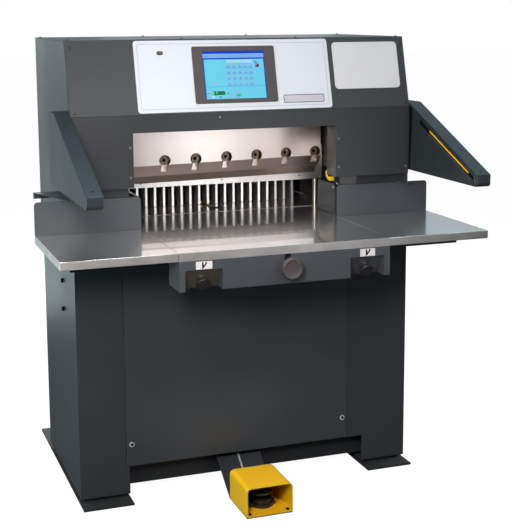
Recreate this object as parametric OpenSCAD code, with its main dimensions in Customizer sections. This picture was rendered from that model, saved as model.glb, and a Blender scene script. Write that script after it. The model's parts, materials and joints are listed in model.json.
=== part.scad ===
// Hydraulic paper cutter with a swing-cut knife, a hydraulic clamp and a driven back gauge.
// Millimetres, +Z up, -Y towards the operator, origin on the floor under the middle of the cut line.

/* [Cutting] */
// Clear width between the side guides
throat_width = 704; // [600:1:720]
// Height of the raised clamp above the table
clamp_opening = 100; // [70:1:110]
// Depth of the clamp beam, front to back
clamp_depth = 60; // [50:1:80]
// Height of the clamp beam
clamp_height = 125; // [118:1:150]
// Length of the clamp beam
clamp_length = 796; // [790:1:820]
// Height of the raised knife edge over the raised clamp, at the pivot
knife_rise = 20; // [12:1:30]
// Sideways travel of the knife in one stroke
knife_swing = 40; // [20:1:45]
// Tilt of the raised knife in degrees, low end at the left
knife_tilt = 0.9; // [0.4:0.1:1.2]
// Length of the knife blade
blade_length = 757; // [700:1:760]
// Thickness of the knife blade
blade_thick = 12; // [8:0.5:14]
// Height of the knife blade
blade_height = 110; // [100:1:125]
// Height of the bevel on the blade
blade_bevel = 26; // [18:1:30]
// Length of the knife carrier
carrier_length = 766; // [740:1:772]
// Thickness of the knife carrier
carrier_depth = 41; // [36:1:46]
// Height of the knife carrier
carrier_height = 204; // [190:1:210]
// Sideways place of the middle of the knife at rest
knife_middle = -15; // [-20:1:0]
// Number of evenly spaced knife bolts
bolt_count = 6; // [3:1:6]
// Spacing of the knife bolts
bolt_pitch = 112.4; // [80:0.1:114]

/* [Back gauge] */
// Number of gauge fingers
finger_count = 21; // [11:2:21]
// Spacing of the gauge fingers
finger_pitch = 33.7; // [28:0.1:34]
// Sideways place of the middle of the fingers
finger_middle = 10; // [0:1:12]
// Thickness of one finger
finger_thick = 9; // [5:0.5:10]
// Forward reach of the fingers
finger_reach = 53; // [50:1:70]
// Height of the fingers
finger_height = 89; // [60:1:92]
// Distance of the finger tips behind the cut at rest
gauge_rest = 172; // [120:1:300]
// Diameter of the lead screw
screw_d = 20; // [14:1:24]

/* [Table] */
// Height of the table top
table_height = 900; // [860:1:940]
// Thickness of the table
table_thick = 26; // [20:1:32]
// Width over both side tables
table_width = 1400; // [1300:1:1600]
// Distance from the cut to the front edge of the table
table_front = 673; // [640:1:720]
// Distance from the cut to the rear edge of the table
table_rear = 780; // [765:1:820]
// Width of the middle table in front of the head
centre_width = 694; // [660:1:710]
// Width of the cutting stick
stick_width = 16; // [10:1:20]
// Depth of the cutting stick
stick_depth = 10; // [6:1:14]
// Height of the fences and side guides
fence_height = 109; // [80:1:112]
// Thickness of the fences
fence_thick = 6; // [4:0.5:8]
// Distance from the cut to the front of the fences
fence_setback = 245; // [235:1:260]

/* [Head] */
// Width of the head and of the stand
body_width = 1180; // [1130:1:1220]
// Distance from the cut to the lower front cover
head_front = 315; // [305:1:330]
// Distance from the cut to the rear panel of the head
head_back = 296; // [280:1:320]
// Height over the top cover
head_top = 1520; // [1515:1:1560]
// Height of the fold between the hood and the lower cover
fold_height = 1282; // [1270:1:1295]
// Backward lean of the hood between fold and top
hood_lean = 63; // [30:1:68]
// Height of the lower edge of the front cover
cover_bottom = 1049; // [1035:1:1060]
// Left edge of the cutting window, from the middle
window_left = 389; // [360:1:400]
// Right edge of the cutting window, from the middle
window_right = 315; // [300:1:345]
// Height of the top of the cutting window
window_top = 1225; // [1200:1:1250]
// Sheet steel thickness of the covers
sheet = 3; // [2:0.5:4]

/* [Operator panel] */
// Width of the white fascia
fascia_w = 672; // [600:1:700]
// Height of the white fascia along the hood
fascia_h = 236; // [205:1:238]
// Sideways place of the middle of the fascia
fascia_x = -34; // [-40:1:-20]
// Width of the screen bezel
bezel_w = 285; // [250:1:300]
// Height of the screen bezel
bezel_h = 189; // [170:1:200]
// Width of the screen
screen_w = 212; // [190:1:230]
// Height of the screen
screen_h = 158; // [140:1:165]

/* [Side guards] */
// Thickness of a guard wing
wing_thick = 50; // [42:1:60]
// Distance from the cut to the front of the guard wings
wing_front = 780; // [740:1:820]
// Height of the lower edge of the guard wings
wing_bottom = 1061; // [1050:1:1075]
// Height of the blunt front end of the guard wings
wing_nose = 39; // [30:1:50]
// Height of the top of the guard wings
wing_top = 1296; // [1280:1:1310]
// Width of the light curtain bar
curtain_w = 18; // [12:1:24]
// Length of the light curtain bar
curtain_l = 398; // [300:1:420]

/* [Stand] */
// Distance from the cut to the front of the stand
stand_front = 309; // [300:1:312]
// Distance from the cut to the back of the stand
stand_back = 261; // [250:1:275]
// Width of a leg, side to side
leg_width = 167; // [140:1:175]
// Height of the lower edge of the access panel
panel_bottom = 114; // [112:1:130]
// Left edge of the access panel, from the middle
panel_left = 433; // [420:1:440]
// Right edge of the access panel, from the middle
panel_right = 364; // [350:1:400]
// Height of the feet
foot_height = 22; // [16:1:28]
// Distance from the cut to the front of the feet
foot_front = 367; // [330:1:390]
// Distance from the cut to the back of the feet
foot_back = 451; // [400:1:480]

/* [Console] */
// Width of the console under the table
console_w = 692; // [660:1:694]
// Height of the console
console_h = 93; // [90:1:110]
// Depth of the console
console_d = 113; // [105:1:113]
// Width of a button recess
recess_w = 117; // [90:1:120]
// Height of a button recess
recess_h = 64; // [55:1:66]
// Distance of the buttons from the middle
button_x = 268.5; // [265:0.5:272]
// Diameter of the button heads
button_d = 30; // [22:1:34]
// Diameter of the gauge knob
knob_d = 64; // [50:1:70]
// Height of the knob axis under the table top
knob_drop = 66; // [60:1:72]

/* [Foot switch] */
// Width of the pedal guard
guard_w = 158; // [140:1:170]
// Depth of the pedal guard
guard_d = 174; // [165:1:185]
// Height of the pedal guard
guard_h = 102; // [96:1:103]
// Wall of the pedal guard
guard_wall = 4; // [3:0.5:5]
// Sideways place of the middle of the guard
guard_x = -33; // [-60:1:20]
// Distance from the cut to the front of the guard
guard_front = 599; // [590:1:620]
// Diameter of the switch cable
cable_d = 7; // [4:0.5:8]

/* [Hidden] */
$fn = 64;
clear = 0.3;
fit = 0.05;
seam = 0.4;
under = table_height - table_thick;
half = body_width / 2;
inner = half - sheet;
clamp_bottom = table_height + clamp_opening;
clamp_front = 2;
clamp_mid = clamp_front + clamp_depth / 2;
clamp_plate = 12;
frame_gap = 880;
frame_x = frame_gap / 2;
frame_thick = 25;
frame_front = 230;
frame_back = 200;
frame_top = 1480;
fence_inner = throat_width / 2 - 1;
fence_back = -fence_setback + fence_thick;
bed_front = fence_back;
guide_length = 150;
guide_thick = 10;
corner_r = 12;
bracket_y = -195;
bracket_thick = 6;

// Knife: everything is drawn level and then tilted about the pin
edge_z = clamp_bottom + knife_rise;
carrier_bottom = edge_z + blade_bevel;
carrier_top = carrier_bottom + carrier_height;
carrier_front = -blade_thick - carrier_depth;
chamfer_h = 42;
chamfer_d = carrier_depth - 5;
recess_z = carrier_bottom + 56;
recess_r = 20;
recess_depth = 30;
recess_floor = carrier_front + recess_depth;
slot_w = 24;
bolt_r = 8;
bolt_head_r = 12;
bolt_head_h = 16;
bolt_last = knife_middle + blade_length / 2 - 17.7;
bolt_first = bolt_last - (bolt_count - 1) * bolt_pitch;
end_bolt = knife_middle - blade_length / 2 + 33;
pin_r = 10;
pin_y = carrier_front + carrier_depth / 2;
pin_z = carrier_top - 20;
knife_drop = clamp_opening + knife_rise - seam;
stroke_angle = atan(knife_swing / knife_drop);
stroke_length = norm([knife_swing, knife_drop]);
fork_half = 22;
fork_cheek = 12;
fork_gap = 1;
ram_z = pin_z + 34;
ram_r = 14;
ram_exit = 45;
ram_length = ram_exit + stroke_length + 40;
ram_tube_r = 38;
ram_tube_length = stroke_length + 70;
beam_front = clamp_mid - 2;
beam_back = beam_front + 160;
beam_z0 = 1300;
beam_z1 = 1470;
beam_wall = 20;

// Clamp drive under the table
rod_r = 8;
rod_x = clamp_length / 2 - 16;
yoke_z = 560;
yoke_h = 50;
clamp_travel = clamp_opening - 2;
clamp_ram_r = 16;
clamp_tube_top = yoke_z - clamp_travel - 7;
clamp_tube_r = 45;
tray_z0 = 110;
tray_z1 = 116;

// Back gauge drive under the table
carriage_y = gauge_rest + finger_reach;
carriage_d = 30;
carriage_length = (finger_count - 1) * finger_pitch + finger_thick + 2;
neck_half = 7;
slot_half = neck_half + 1;
slot_front = clamp_front + clamp_depth + 2;
slot_rear = table_rear - 8;
screw_r = screw_d / 2;
screw_z = under - 36;
screw_front = -8;
nut_half = 30;
nut_z0 = screw_z - screw_r - 12;
motor_front = -120;
motor_rear = 30;
motor_half = 45;
bearing_rear = table_rear - 2;
bearing_d = 20;

// Hood plane: x across, y up the slope from the fold, z outwards
lean = atan(hood_lean / (head_top - fold_height));
hood_skin = sheet / cos(lean);
bezel_x = fascia_x - 1;
bezel_y = 30;
screen_x = bezel_x - 1;
screen_y = 43.5;
fascia_y = 5;
fascia_t = 1.5;
bezel_t = 6;
key_x = -284;
key_y = 200;
key_r = 8;
plate_t = 1;
name_x = 128;
name_y = 25;
name_w = 146;
name_h = 27;
label_x = 319.5;
label_y = 67;
label_w = 243;
label_h = 161;
label_r = 14;

// Guard wing slope
wing_x0 = half;
wing_x1 = half + wing_thick;
wing_slope_y = -305;
wing_back = -215;
wing_nose_z = wing_bottom + wing_nose;
wing_angle = atan((wing_top - wing_nose_z) / (wing_front + wing_slope_y));
pocket_depth = 30;
pocket_top = 15;
pocket_start = 16;

// Rear guard over the table
cover_x = frame_x - 6;
cover_top = clamp_bottom + 15;
cover_front = head_back + 3;
cover_rear = table_rear - 10;
cover_pin_y = cover_front + 6;
cover_pin_z = cover_top + 9;
cover_pin_r = 4;

// Cover screws
cover_screw_r = 5;
cover_screw_h = 2.5;
screw_inset = 15;
screw_gap = 11;
screw_low = cover_bottom + 34;
screw_high = window_top - 46;
screw_corner = cover_bottom + 25;
screw_lip = [-96, fold_height - 16];

// Access panel hinge and locks
rail_z0 = under - 22;
panel_top = rail_z0 - 6;
panel_pin_y = -stand_front + 11;
panel_pin_r = 4;
lock_z = panel_bottom + 75;
lock_inset = 18;
lock_r = 6;
cam_length = 42;
rail_y = -262;
leg_hole_y = -110;
leg_hole_z = [622, 719];
leg_hole_r = 7;
vent_x = -300;
vent_w = 140;
vent_z = 300;
vent_h = 8;
vent_pitch = 24;
vent_count = 8;

// Hydraulics and controls in the stand
tank_x = -420;
tank_w = 330;
tank_y = -200;
tank_d = 320;
tank_top = 430;
tank_wall = 5;
filler_r = 30;
filler_h = 22;
pump_x = 110;
pump_y = -60;
pump_l = 220;
pump_r = 80;
pump_rise = 105;
pump_head_l = 70;
pump_head_r = 45;
saddle_inset = 20;
control_w = 190;
control_z = 640;
control_h = 200;
inlet_x = 320;
inlet_rise = 60;
inlet_w = 60;
inlet_h = 50;
inlet_d = 14;
socket_r = 16;

// Console and its button slope
console_front = -table_front;
console_back = console_front + console_d;
console_z0 = under - console_h;
recess_top = console_z0 + recess_h;
recess_run = 50;
recess_lip = 5;
slope_mid_y = console_front + (recess_run + recess_lip) / 2;
slope_mid_z = console_z0 + recess_h / 2;
button_angle = 90 + atan((recess_run - recess_lip) / recess_h);
button_stem_r = 10;
button_stem = 18;
button_gap = 8;
button_head = 10;
button_travel = 5;
knob_z = table_height - knob_drop;
knob_face = console_front - 44;
knob_rim = 24;
knob_shaft_r = 6;
knob_boss_y = console_front + 28;
knob_boss = 20;

// Foot switch
guard_y0 = -guard_front;
guard_y1 = guard_y0 + guard_d;
guard_z = 3;
guard_r = 16;
ramp_top = [rail_y - 25, 92];
switch_y = guard_y0 + 82;
switch_r = 36;
pedal_axis_y = guard_y1 - 22;
pedal_axis_z = 52;
pedal_half = 37;
cable_r = cable_d / 2;
cable_x = guard_x - 5;
cable_z = 24;
gland_z = ramp_top[1] + 9;
gland_y = rail_y - 12;
// Route of the switch cable from the switch, up the ramp to the gland on the crossmember
cable_route = [[cable_x, guard_y1 - 8, cable_z], [cable_x, guard_y1 + 15, cable_z + 2],
               [cable_x, guard_y1 + 40, cable_z + 16], [cable_x, guard_y1 + 80, cable_z + 42],
               [cable_x, gland_y - 31, gland_z - 8], [cable_x, gland_y - 16, gland_z - 1],
               [cable_x, gland_y, gland_z]];

charcoal = [0.20, 0.22, 0.24];
dark = [0.10, 0.11, 0.12];
steel = [0.76, 0.76, 0.76];
yellow = [0.93, 0.74, 0.10];
white = [0.94, 0.94, 0.93];

// Shared shapes
module box(x0, x1, y0, y1, z0, z1) {
  translate([x0, y0, z0]) cube([x1 - x0, y1 - y0, z1 - z0]);
}

// Outline given as [y, z] points, run along X
module run_x(x0, x1, outline) {
  translate([x0, 0, 0]) rotate([90, 0, 90]) linear_extrude(x1 - x0) polygon(outline);
}

// Outline given as [x, z] points, run along Y
module run_y(y0, y1, outline) {
  translate([0, y1, 0]) rotate([90, 0, 0]) linear_extrude(y1 - y0) polygon(outline);
}

module bar_x(x0, x1, y, z, r) {
  translate([x0, y, z]) rotate([0, 90, 0]) cylinder(r = r, h = x1 - x0);
}

module bar_y(y0, y1, x, z, r) {
  translate([x, y0, z]) rotate([-90, 0, 0]) cylinder(r = r, h = y1 - y0);
}

module both_sides() {
  children();
  mirror([1, 0, 0]) children();
}

module rounded(w, h, r) {
  translate([r, 0]) square([w - 2 * r, h]);
  translate([0, r]) square([w, h - 2 * r]);
  for (x = [r, w - r])
    for (y = [r, h - r])
      translate([x, y]) circle(r);
}

// A rectangle with only its upper corners rounded
module domed(w, h, r) {
  square([w, h - r]);
  translate([r, 0]) square([w - 2 * r, h]);
  for (x = [r, w - r])
    translate([x, h - r]) circle(r);
}

module on_hood() {
  translate([0, -head_front, fold_height]) rotate([90 - lean, 0, 0]) children();
}

module knife_pose() {
  translate([knife_middle, 0, pin_z]) rotate([0, -knife_tilt, 0]) translate([-knife_middle, 0, -pin_z])
    children();
}

// Local z runs up the knife stroke from the top of the fork
module ram_pose() {
  translate([knife_middle, pin_y, ram_z]) rotate([0, -stroke_angle, 0]) children();
}

module bolt_places() {
  for (x = concat([end_bolt], [for (i = [0 : bolt_count - 1]) bolt_first + i * bolt_pitch]))
    translate([x, 0, recess_z]) children();
}

module finger_places() {
  for (i = [0 : finger_count - 1])
    translate([finger_middle + (i - (finger_count - 1) / 2) * finger_pitch, 0, 0]) children();
}

module wing_pose() {
  translate([0, -wing_front, wing_nose_z]) rotate([wing_angle, 0, 0]) children();
}

module button_pose(side) {
  translate([side * button_x, slope_mid_y, slope_mid_z]) rotate([button_angle, 0, 0]) children();
}

// Stand
module leg_shell() {
  box(inner, half, -stand_front, stand_back, foot_height, under);
  box(panel_left + 1, half, stand_back - sheet, stand_back, foot_height, under);
}

module leg_front(edge) {
  leg_inner = half - leg_width;
  step = panel_bottom - 2;
  run_y(-stand_front, -stand_front + sheet, [[leg_inner, foot_height], [half, foot_height],
        [half, under], [edge, under], [edge, step], [leg_inner, step]]);
}

module stands() {
  color(charcoal) {
    union() {
      leg_shell();
      leg_front(panel_right + 1);
    }
    mirror([1, 0, 0]) difference() {
      union() {
        leg_shell();
        leg_front(panel_left + 1);
      }
      for (z = leg_hole_z)
        bar_x(inner - 1, half + 1, leg_hole_y, z, leg_hole_r);
    }
  }
}

module feet() {
  plate = foot_height * 0.36;
  step = 14;
  leg_inner = half - leg_width;
  color(dark) both_sides() union() {
    box(leg_inner, half + 2, -foot_front, foot_back, 0, plate);
    box(leg_inner + step, half - step, -stand_front + step, stand_back - step, plate - 1, foot_height - 3);
    box(leg_inner, half, -stand_front, stand_back, foot_height - 4, foot_height);
  }
}

module crossmembers() {
  color(dark) {
    box(-inner, inner, rail_y, rail_y + 40, foot_height + 11, tray_z0);
    box(-inner, inner, stand_back - 60, stand_back - 20, foot_height + 11, tray_z0);
    difference() {
      union() {
        box(-inner, inner, -stand_front + sheet, -stand_front + 23, rail_z0, under);
        for (x = [-panel_left + 45, panel_right - 57])
          box(x, x + 12, panel_pin_y - 6, -stand_front + 23, rail_z0 - 14, rail_z0 + 1);
      }
      bar_x(-half, half, panel_pin_y, panel_top, panel_pin_r + fit);
    }
  }
}

module base_tray() {
  color(dark) box(-inner, inner, rail_y, stand_back - sheet, tray_z0, tray_z1);
}

module rear_panel() {
  color(charcoal) difference() {
    box(-panel_left - 1, panel_left + 1, stand_back - sheet, stand_back, tray_z1, under);
    box(-nut_half - 4, nut_half + 4, stand_back - sheet - 1, stand_back + 1, nut_z0 - 4, under + 1);
    for (i = [0 : vent_count - 1])
      translate([vent_x, stand_back - sheet - 1, vent_z + i * vent_pitch]) cube([vent_w, sheet + 2, vent_h]);
  }
}

module access_panel() {
  y0 = -stand_front;
  color(charcoal) difference() {
    union() {
      box(-panel_left, panel_right, y0, y0 + sheet, panel_bottom, panel_top);
      for (x = [-panel_left + 30, panel_right - 40]) {
        box(x, x + 10, y0 + sheet - 1, panel_pin_y + 5, panel_top - 12, panel_top);
        bar_x(x, x + 10, panel_pin_y, panel_top, 5);
      }
      bar_x(-panel_left + 30, -panel_left + 60, panel_pin_y, panel_top, panel_pin_r);
      bar_x(panel_right - 60, panel_right - 30, panel_pin_y, panel_top, panel_pin_r);
    }
    for (x = [-panel_left + lock_inset, panel_right - lock_inset])
      bar_y(y0 - 1, y0 + sheet + 1, x, lock_z, lock_r + fit);
  }
}

module panel_lock(x) {
  y0 = -stand_front;
  color(steel) difference() {
    union() {
      bar_y(y0 - 4, y0, x, lock_z, lock_r + 3);
      bar_y(y0 - 1, y0 + 8, x, lock_z, lock_r);
      box(x - lock_r, x + lock_r, y0 + 5, y0 + 8, lock_z, lock_z + cam_length);
    }
    box(x - 1, x + 1, y0 - 5, y0 - 2, lock_z - 5, lock_z + 5);
  }
}

module left_panel_lock() {
  panel_lock(-panel_left + lock_inset);
}

module right_panel_lock() {
  panel_lock(panel_right - lock_inset);
}

// Frame
module side_frames() {
  color(dark) both_sides()
    box(frame_x, frame_x + frame_thick, -frame_front, frame_back, tray_z1, frame_top);
}

module top_beam() {
  color(dark) difference() {
    box(-frame_x, frame_x, beam_front, beam_back, beam_z0, beam_z1);
    box(-frame_x - 1, frame_x + 1, beam_front + beam_wall, beam_back - beam_wall, beam_z0 + beam_wall,
        beam_z1 - beam_wall);
  }
}

// Tables
module centre_table() {
  stick_half = stick_width / 2;
  color(steel) difference() {
    union() {
      box(-centre_width / 2, centre_width / 2, -table_front, bed_front + 1, under, table_height);
      box(-frame_x, frame_x, bed_front, table_rear, under, table_height);
    }
    box(-stick_end(), stick_end(), -stick_half, stick_half, table_height - stick_depth, table_height + 1);
    box(-slot_half, slot_half, slot_front, slot_rear, under - 1, table_height + 1);
    for (x = [-rod_x, rod_x])
      translate([x, clamp_mid, under - 1]) cylinder(r = rod_r + 0.5, h = table_thick + 2);
  }
}

function stick_end() = rod_x - rod_r - 12;

module table_wing() {
  color(steel)
    box(centre_width / 2 + seam, table_width / 2, -table_front, bed_front - seam, under, table_height);
}

module left_table_wing() {
  mirror([1, 0, 0]) table_wing();
}

module right_table_wing() {
  table_wing();
}

module table_support_bar() {
  reach = table_width / 2 - 50;
  color(dark) box(-reach, reach, console_back + 2, console_back + 27, under - 32, under);
}

module fence_plate(x0, x1) {
  translate([x0, -fence_setback + fence_thick, table_height]) rotate([90, 0, 0])
    linear_extrude(fence_thick - seam) domed(x1 - x0, fence_height, corner_r);
}

module fences() {
  color(charcoal) both_sides() fence_plate(fence_inner, table_width / 2);
}

module side_guides() {
  x0 = throat_width / 2;
  y0 = -fence_setback + 27;
  color(charcoal) both_sides() translate([x0, y0, table_height]) rotate([90, 0, 90])
    linear_extrude(guide_thick) domed(guide_length, fence_height - 1, corner_r);
}

module cutting_stick() {
  stick_half = stick_width / 2;
  color(yellow)
    box(-stick_end(), stick_end(), -stick_half, stick_half, table_height - stick_depth, table_height);
}

// Head covers
module front_hood() {
  top_y = -head_front + hood_lean;
  color(charcoal) run_x(-half, half, [[-head_front, fold_height], [top_y, head_top],
                                      [top_y + hood_skin, head_top], [-head_front + hood_skin, fold_height]]);
}

module lower_front_cover() {
  y0 = -head_front;
  y1 = y0 + sheet;
  color(charcoal) union() {
    run_y(y0, y1, [[-half, cover_bottom], [-window_left, cover_bottom], [-window_left, window_top],
                   [window_right, window_top], [window_right, cover_bottom], [half, cover_bottom],
                   [half, fold_height], [-half, fold_height]]);
    for (span = [[-inner + seam, -window_left], [window_right, inner - seam]])
      box(span[0], span[1], y1 - 1, fence_back + sheet + seam, cover_bottom, cover_bottom + sheet);
    for (span = [[-inner + seam, -window_left], [fence_inner + 12, inner - seam]])
      box(span[0], span[1], fence_back + seam, fence_back + sheet + seam,
          table_height + seam, cover_bottom + 1);
  }
}

module window_jambs() {
  y0 = -head_front + sheet;
  color(steel) {
    for (x = [-window_left - sheet, window_right])
      box(x, x + sheet, y0, fence_back, cover_bottom + sheet, window_top);
  }
}

module top_cover() {
  y0 = -head_front + hood_lean + hood_skin;
  color(charcoal) box(-half, half, y0, head_back - sheet, head_top - sheet, head_top);
}

module head_sides() {
  y_fold = -head_front + hood_skin + 0.2;
  y_top = y_fold + hood_lean;
  y_low = fence_back + seam;
  z_low = table_height + fence_height + 1;
  top = head_top - sheet;
  color(charcoal) both_sides()
    run_x(inner, half, [[y_fold, z_low], [y_fold, fold_height], [y_top - 1, top],
                        [head_back - sheet, top], [head_back - sheet, under], [y_low, under],
                        [y_low, z_low]]);
}

module rear_head_panel() {
  y0 = head_back - sheet;
  lug_y = cover_pin_y + 5.5;
  color(charcoal) difference() {
    union() {
      difference() {
        box(-half, half, y0, head_back, under, head_top);
        box(-cover_x + 5, cover_x - 5, y0 - 1, head_back + 1, under - 1, cover_top - 5);
        box(-frame_x - clear, frame_x + clear, y0 - 1, head_back + 1, under - 1, table_height + clear);
      }
      for (x = [-cover_x + 60, cover_x - 75])
        box(x, x + 15, head_back - 1, lug_y, cover_pin_z - 6, cover_pin_z + 12);
    }
    bar_x(-half, half, cover_pin_y, cover_pin_z, cover_pin_r + fit);
  }
}

module rear_table_guard() {
  skin = 2.5;
  z0 = table_height + seam;
  color(charcoal) union() {
    difference() {
      box(-cover_x, cover_x, cover_front, cover_rear, z0, cover_top);
      box(-cover_x + skin, cover_x - skin, cover_front - 1, cover_rear - skin, z0 - 1, cover_top - skin);
    }
    for (x = [-cover_x + 40, cover_x - 120]) {
      box(x, x + 18, cover_pin_y - 2, cover_pin_y + 2, cover_top - 1, cover_pin_z);
      bar_x(x, x + 18, cover_pin_y, cover_pin_z, cover_pin_r);
    }
    bar_x(-cover_x + 40, -cover_x + 80, cover_pin_y, cover_pin_z, cover_pin_r);
    bar_x(cover_x - 120, cover_x - 55, cover_pin_y, cover_pin_z, cover_pin_r);
  }
}

// Operator panel
module fascia() {
  color(white) on_hood() translate([fascia_x - fascia_w / 2, fascia_y, 0])
    linear_extrude(fascia_t) rounded(fascia_w, fascia_h, 10);
}

module screen_bezel() {
  color([0.55, 0.56, 0.58]) on_hood() translate([0, 0, fascia_t]) difference() {
    translate([bezel_x - bezel_w / 2, bezel_y, 0]) linear_extrude(bezel_t) rounded(bezel_w, bezel_h, 6);
    translate([screen_x - screen_w / 2, screen_y, -1]) cube([screen_w, screen_h, bezel_t + 2]);
  }
}

module screen() {
  color([0.25, 0.65, 0.85]) on_hood() translate([screen_x - screen_w / 2 + seam, screen_y + seam, fascia_t])
    cube([screen_w - 2 * seam, screen_h - 2 * seam, 3]);
}

module power_key() {
  color(dark) on_hood() translate([key_x, key_y, fascia_t]) difference() {
    cylinder(r = key_r, h = 5);
    translate([-1, -5, 3]) cube([2, 10, 3]);
  }
}

module blank_plates() {
  color(white) on_hood() {
    translate([name_x, name_y, fascia_t]) linear_extrude(plate_t) rounded(name_w, name_h, 3);
    translate([label_x, label_y, 0]) linear_extrude(plate_t) rounded(label_w, label_h, label_r);
  }
}

// Side guards
module guard_wing() {
  nose_r = 14;
  y0 = -wing_front;
  color(charcoal) difference() {
    union() {
      run_x(wing_x0, wing_x1, [[y0, wing_nose_z], [wing_slope_y, wing_top], [wing_back, wing_top],
                               [wing_back, wing_bottom], [y0 + nose_r, wing_bottom],
                               [y0, wing_bottom + nose_r]]);
      bar_x(wing_x0, wing_x1, y0 + nose_r, wing_bottom + nose_r, nose_r);
    }
    wing_pose() box(wing_x0 - 1, wing_x0 + pocket_depth, pocket_start, pocket_start + curtain_l + 2 * clear,
                    -pocket_top - curtain_w - 2 * clear, -pocket_top);
  }
}

module left_guard_wing() {
  mirror([1, 0, 0]) guard_wing();
}

module right_guard_wing() {
  guard_wing();
}

module light_curtains() {
  color(yellow) both_sides() wing_pose()
    box(wing_x0 + 2, wing_x0 + pocket_depth, pocket_start + clear, pocket_start + clear + curtain_l,
        -pocket_top - clear - curtain_w, -pocket_top - clear);
}

module side_shelves() {
  shelf_back = -72;
  shelf_top = table_height + fence_height + 7.5;
  tip = half + 85;
  color(charcoal) both_sides() union() {
    translate([0, 0, shelf_top - sheet]) linear_extrude(sheet)
      polygon([[half, shelf_back], [tip, shelf_back], [half, -head_front + 5]]);
    box(half, tip - 1, shelf_back - sheet, shelf_back, shelf_top - 21, shelf_top);
  }
}

module throat_bracket() {
  z0 = cover_bottom - 30;
  x0 = throat_width / 2 - 21;
  color(yellow) run_y(bracket_y, bracket_y + bracket_thick,
                      [[x0, z0 + 37], [x0, z0 + 16], [x0 + 11, z0], [frame_x, z0], [frame_x, z0 + 15],
                       [x0 + 7, z0 + 15], [x0 + 7, z0 + 37]]);
}

// Knife
module knife_carrier() {
  x0 = knife_middle - carrier_length / 2;
  x1 = knife_middle + carrier_length / 2;
  low_front = carrier_front + chamfer_d;
  color(steel) knife_pose() difference() {
    run_x(x0, x1, [[-blade_thick, carrier_bottom], [low_front, carrier_bottom],
                   [carrier_front, carrier_bottom + chamfer_h], [carrier_front, carrier_top],
                   [-blade_thick, carrier_top]]);
    bolt_places() {
      bar_y(carrier_front - 1, recess_floor, 0, 0, recess_r);
      box(-slot_w / 2, slot_w / 2, carrier_front - 1, recess_floor, -chamfer_h, 0);
      bar_y(recess_floor - 1, 1, 0, 0, bolt_r + 0.4);
    }
    bar_y(carrier_front - 1, 1, knife_middle, pin_z, pin_r + fit);
  }
}

module knife_blade() {
  x0 = knife_middle - blade_length / 2;
  color(steel) knife_pose() difference() {
    run_x(x0, x0 + blade_length, [[0, edge_z], [0, edge_z + blade_height],
                                  [-blade_thick, edge_z + blade_height], [-blade_thick, edge_z + blade_bevel]]);
    bolt_places() bar_y(-blade_thick - 1, 1, 0, 0, bolt_r + 0.4);
  }
}

module knife_bolts() {
  color(dark) knife_pose() bolt_places() difference() {
    union() {
      bar_y(recess_floor - bolt_head_h, recess_floor, 0, 0, bolt_head_r);
      bar_y(recess_floor - 1, -2, 0, 0, bolt_r);
    }
    translate([0, recess_floor - bolt_head_h - 1, 0]) rotate([-90, 0, 0]) cylinder(r = 7, h = 9, $fn = 6);
  }
}

module knife_ram() {
  front = carrier_front - fork_gap;
  rear = -blade_thick + fork_gap;
  bridge = pin_z + 24;
  color(steel) union() {
    for (y = [front - fork_cheek, rear])
      box(knife_middle - fork_half, knife_middle + fork_half, y, y + fork_cheek, pin_z - 18, ram_z + 10);
    box(knife_middle - fork_half, knife_middle + fork_half, front - fork_cheek, rear + fork_cheek,
        bridge, ram_z + 10);
    bar_y(front - fork_cheek, rear + fork_cheek, knife_middle, pin_z, pin_r);
    ram_pose() cylinder(r = ram_r, h = ram_length);
  }
}

module knife_cylinder() {
  color(dark) ram_pose() difference() {
    union() {
      translate([0, 0, ram_exit]) cylinder(r = ram_tube_r, h = ram_tube_length);
      box(-30, 30, 0, beam_front - pin_y, ram_exit + 65, ram_exit + 145);
    }
    translate([0, 0, ram_exit - 1]) cylinder(r = ram_r + fit, h = ram_tube_length - 14);
  }
}

// Clamp
module clamp_beam() {
  x1 = clamp_length / 2;
  rod_seat = clamp_bottom + 60;
  color(steel) difference() {
    box(-x1, x1, clamp_front, clamp_front + clamp_depth, clamp_bottom, clamp_bottom + clamp_height);
    finger_places()
      box(-finger_thick / 2 - 2.5, finger_thick / 2 + 2.5, clamp_front + clamp_plate,
          clamp_front + clamp_depth + 1, clamp_bottom - 1, clamp_bottom + finger_height + 7);
    for (x = [-rod_x, rod_x])
      translate([x, clamp_mid, clamp_bottom - 1]) cylinder(r = rod_r + fit, h = rod_seat - clamp_bottom + 1);
  }
}

module clamp_pull_frame() {
  rod_seat = clamp_bottom + 60;
  color(steel) union() {
    for (x = [-rod_x, rod_x])
      translate([x, clamp_mid, yoke_z]) cylinder(r = rod_r, h = rod_seat - yoke_z);
    box(-rod_x - 20, rod_x + 20, clamp_mid - 20, clamp_mid + 20, yoke_z, yoke_z + yoke_h);
    translate([0, clamp_mid, clamp_tube_top - 60])
      cylinder(r = clamp_ram_r, h = yoke_z - clamp_tube_top + 61);
  }
}

module clamp_cylinder() {
  depth = clamp_travel + 70;
  color(dark) translate([0, clamp_mid, 0]) difference() {
    translate([0, 0, tray_z1]) cylinder(r = clamp_tube_r, h = clamp_tube_top - tray_z1);
    translate([0, 0, clamp_tube_top - depth]) cylinder(r = clamp_ram_r + fit, h = depth + 1);
  }
}

// Back gauge
module gauge_fingers() {
  color(steel) finger_places()
    box(-finger_thick / 2, finger_thick / 2, gauge_rest, carriage_y,
        table_height + 1, table_height + 1 + finger_height);
}

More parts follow.
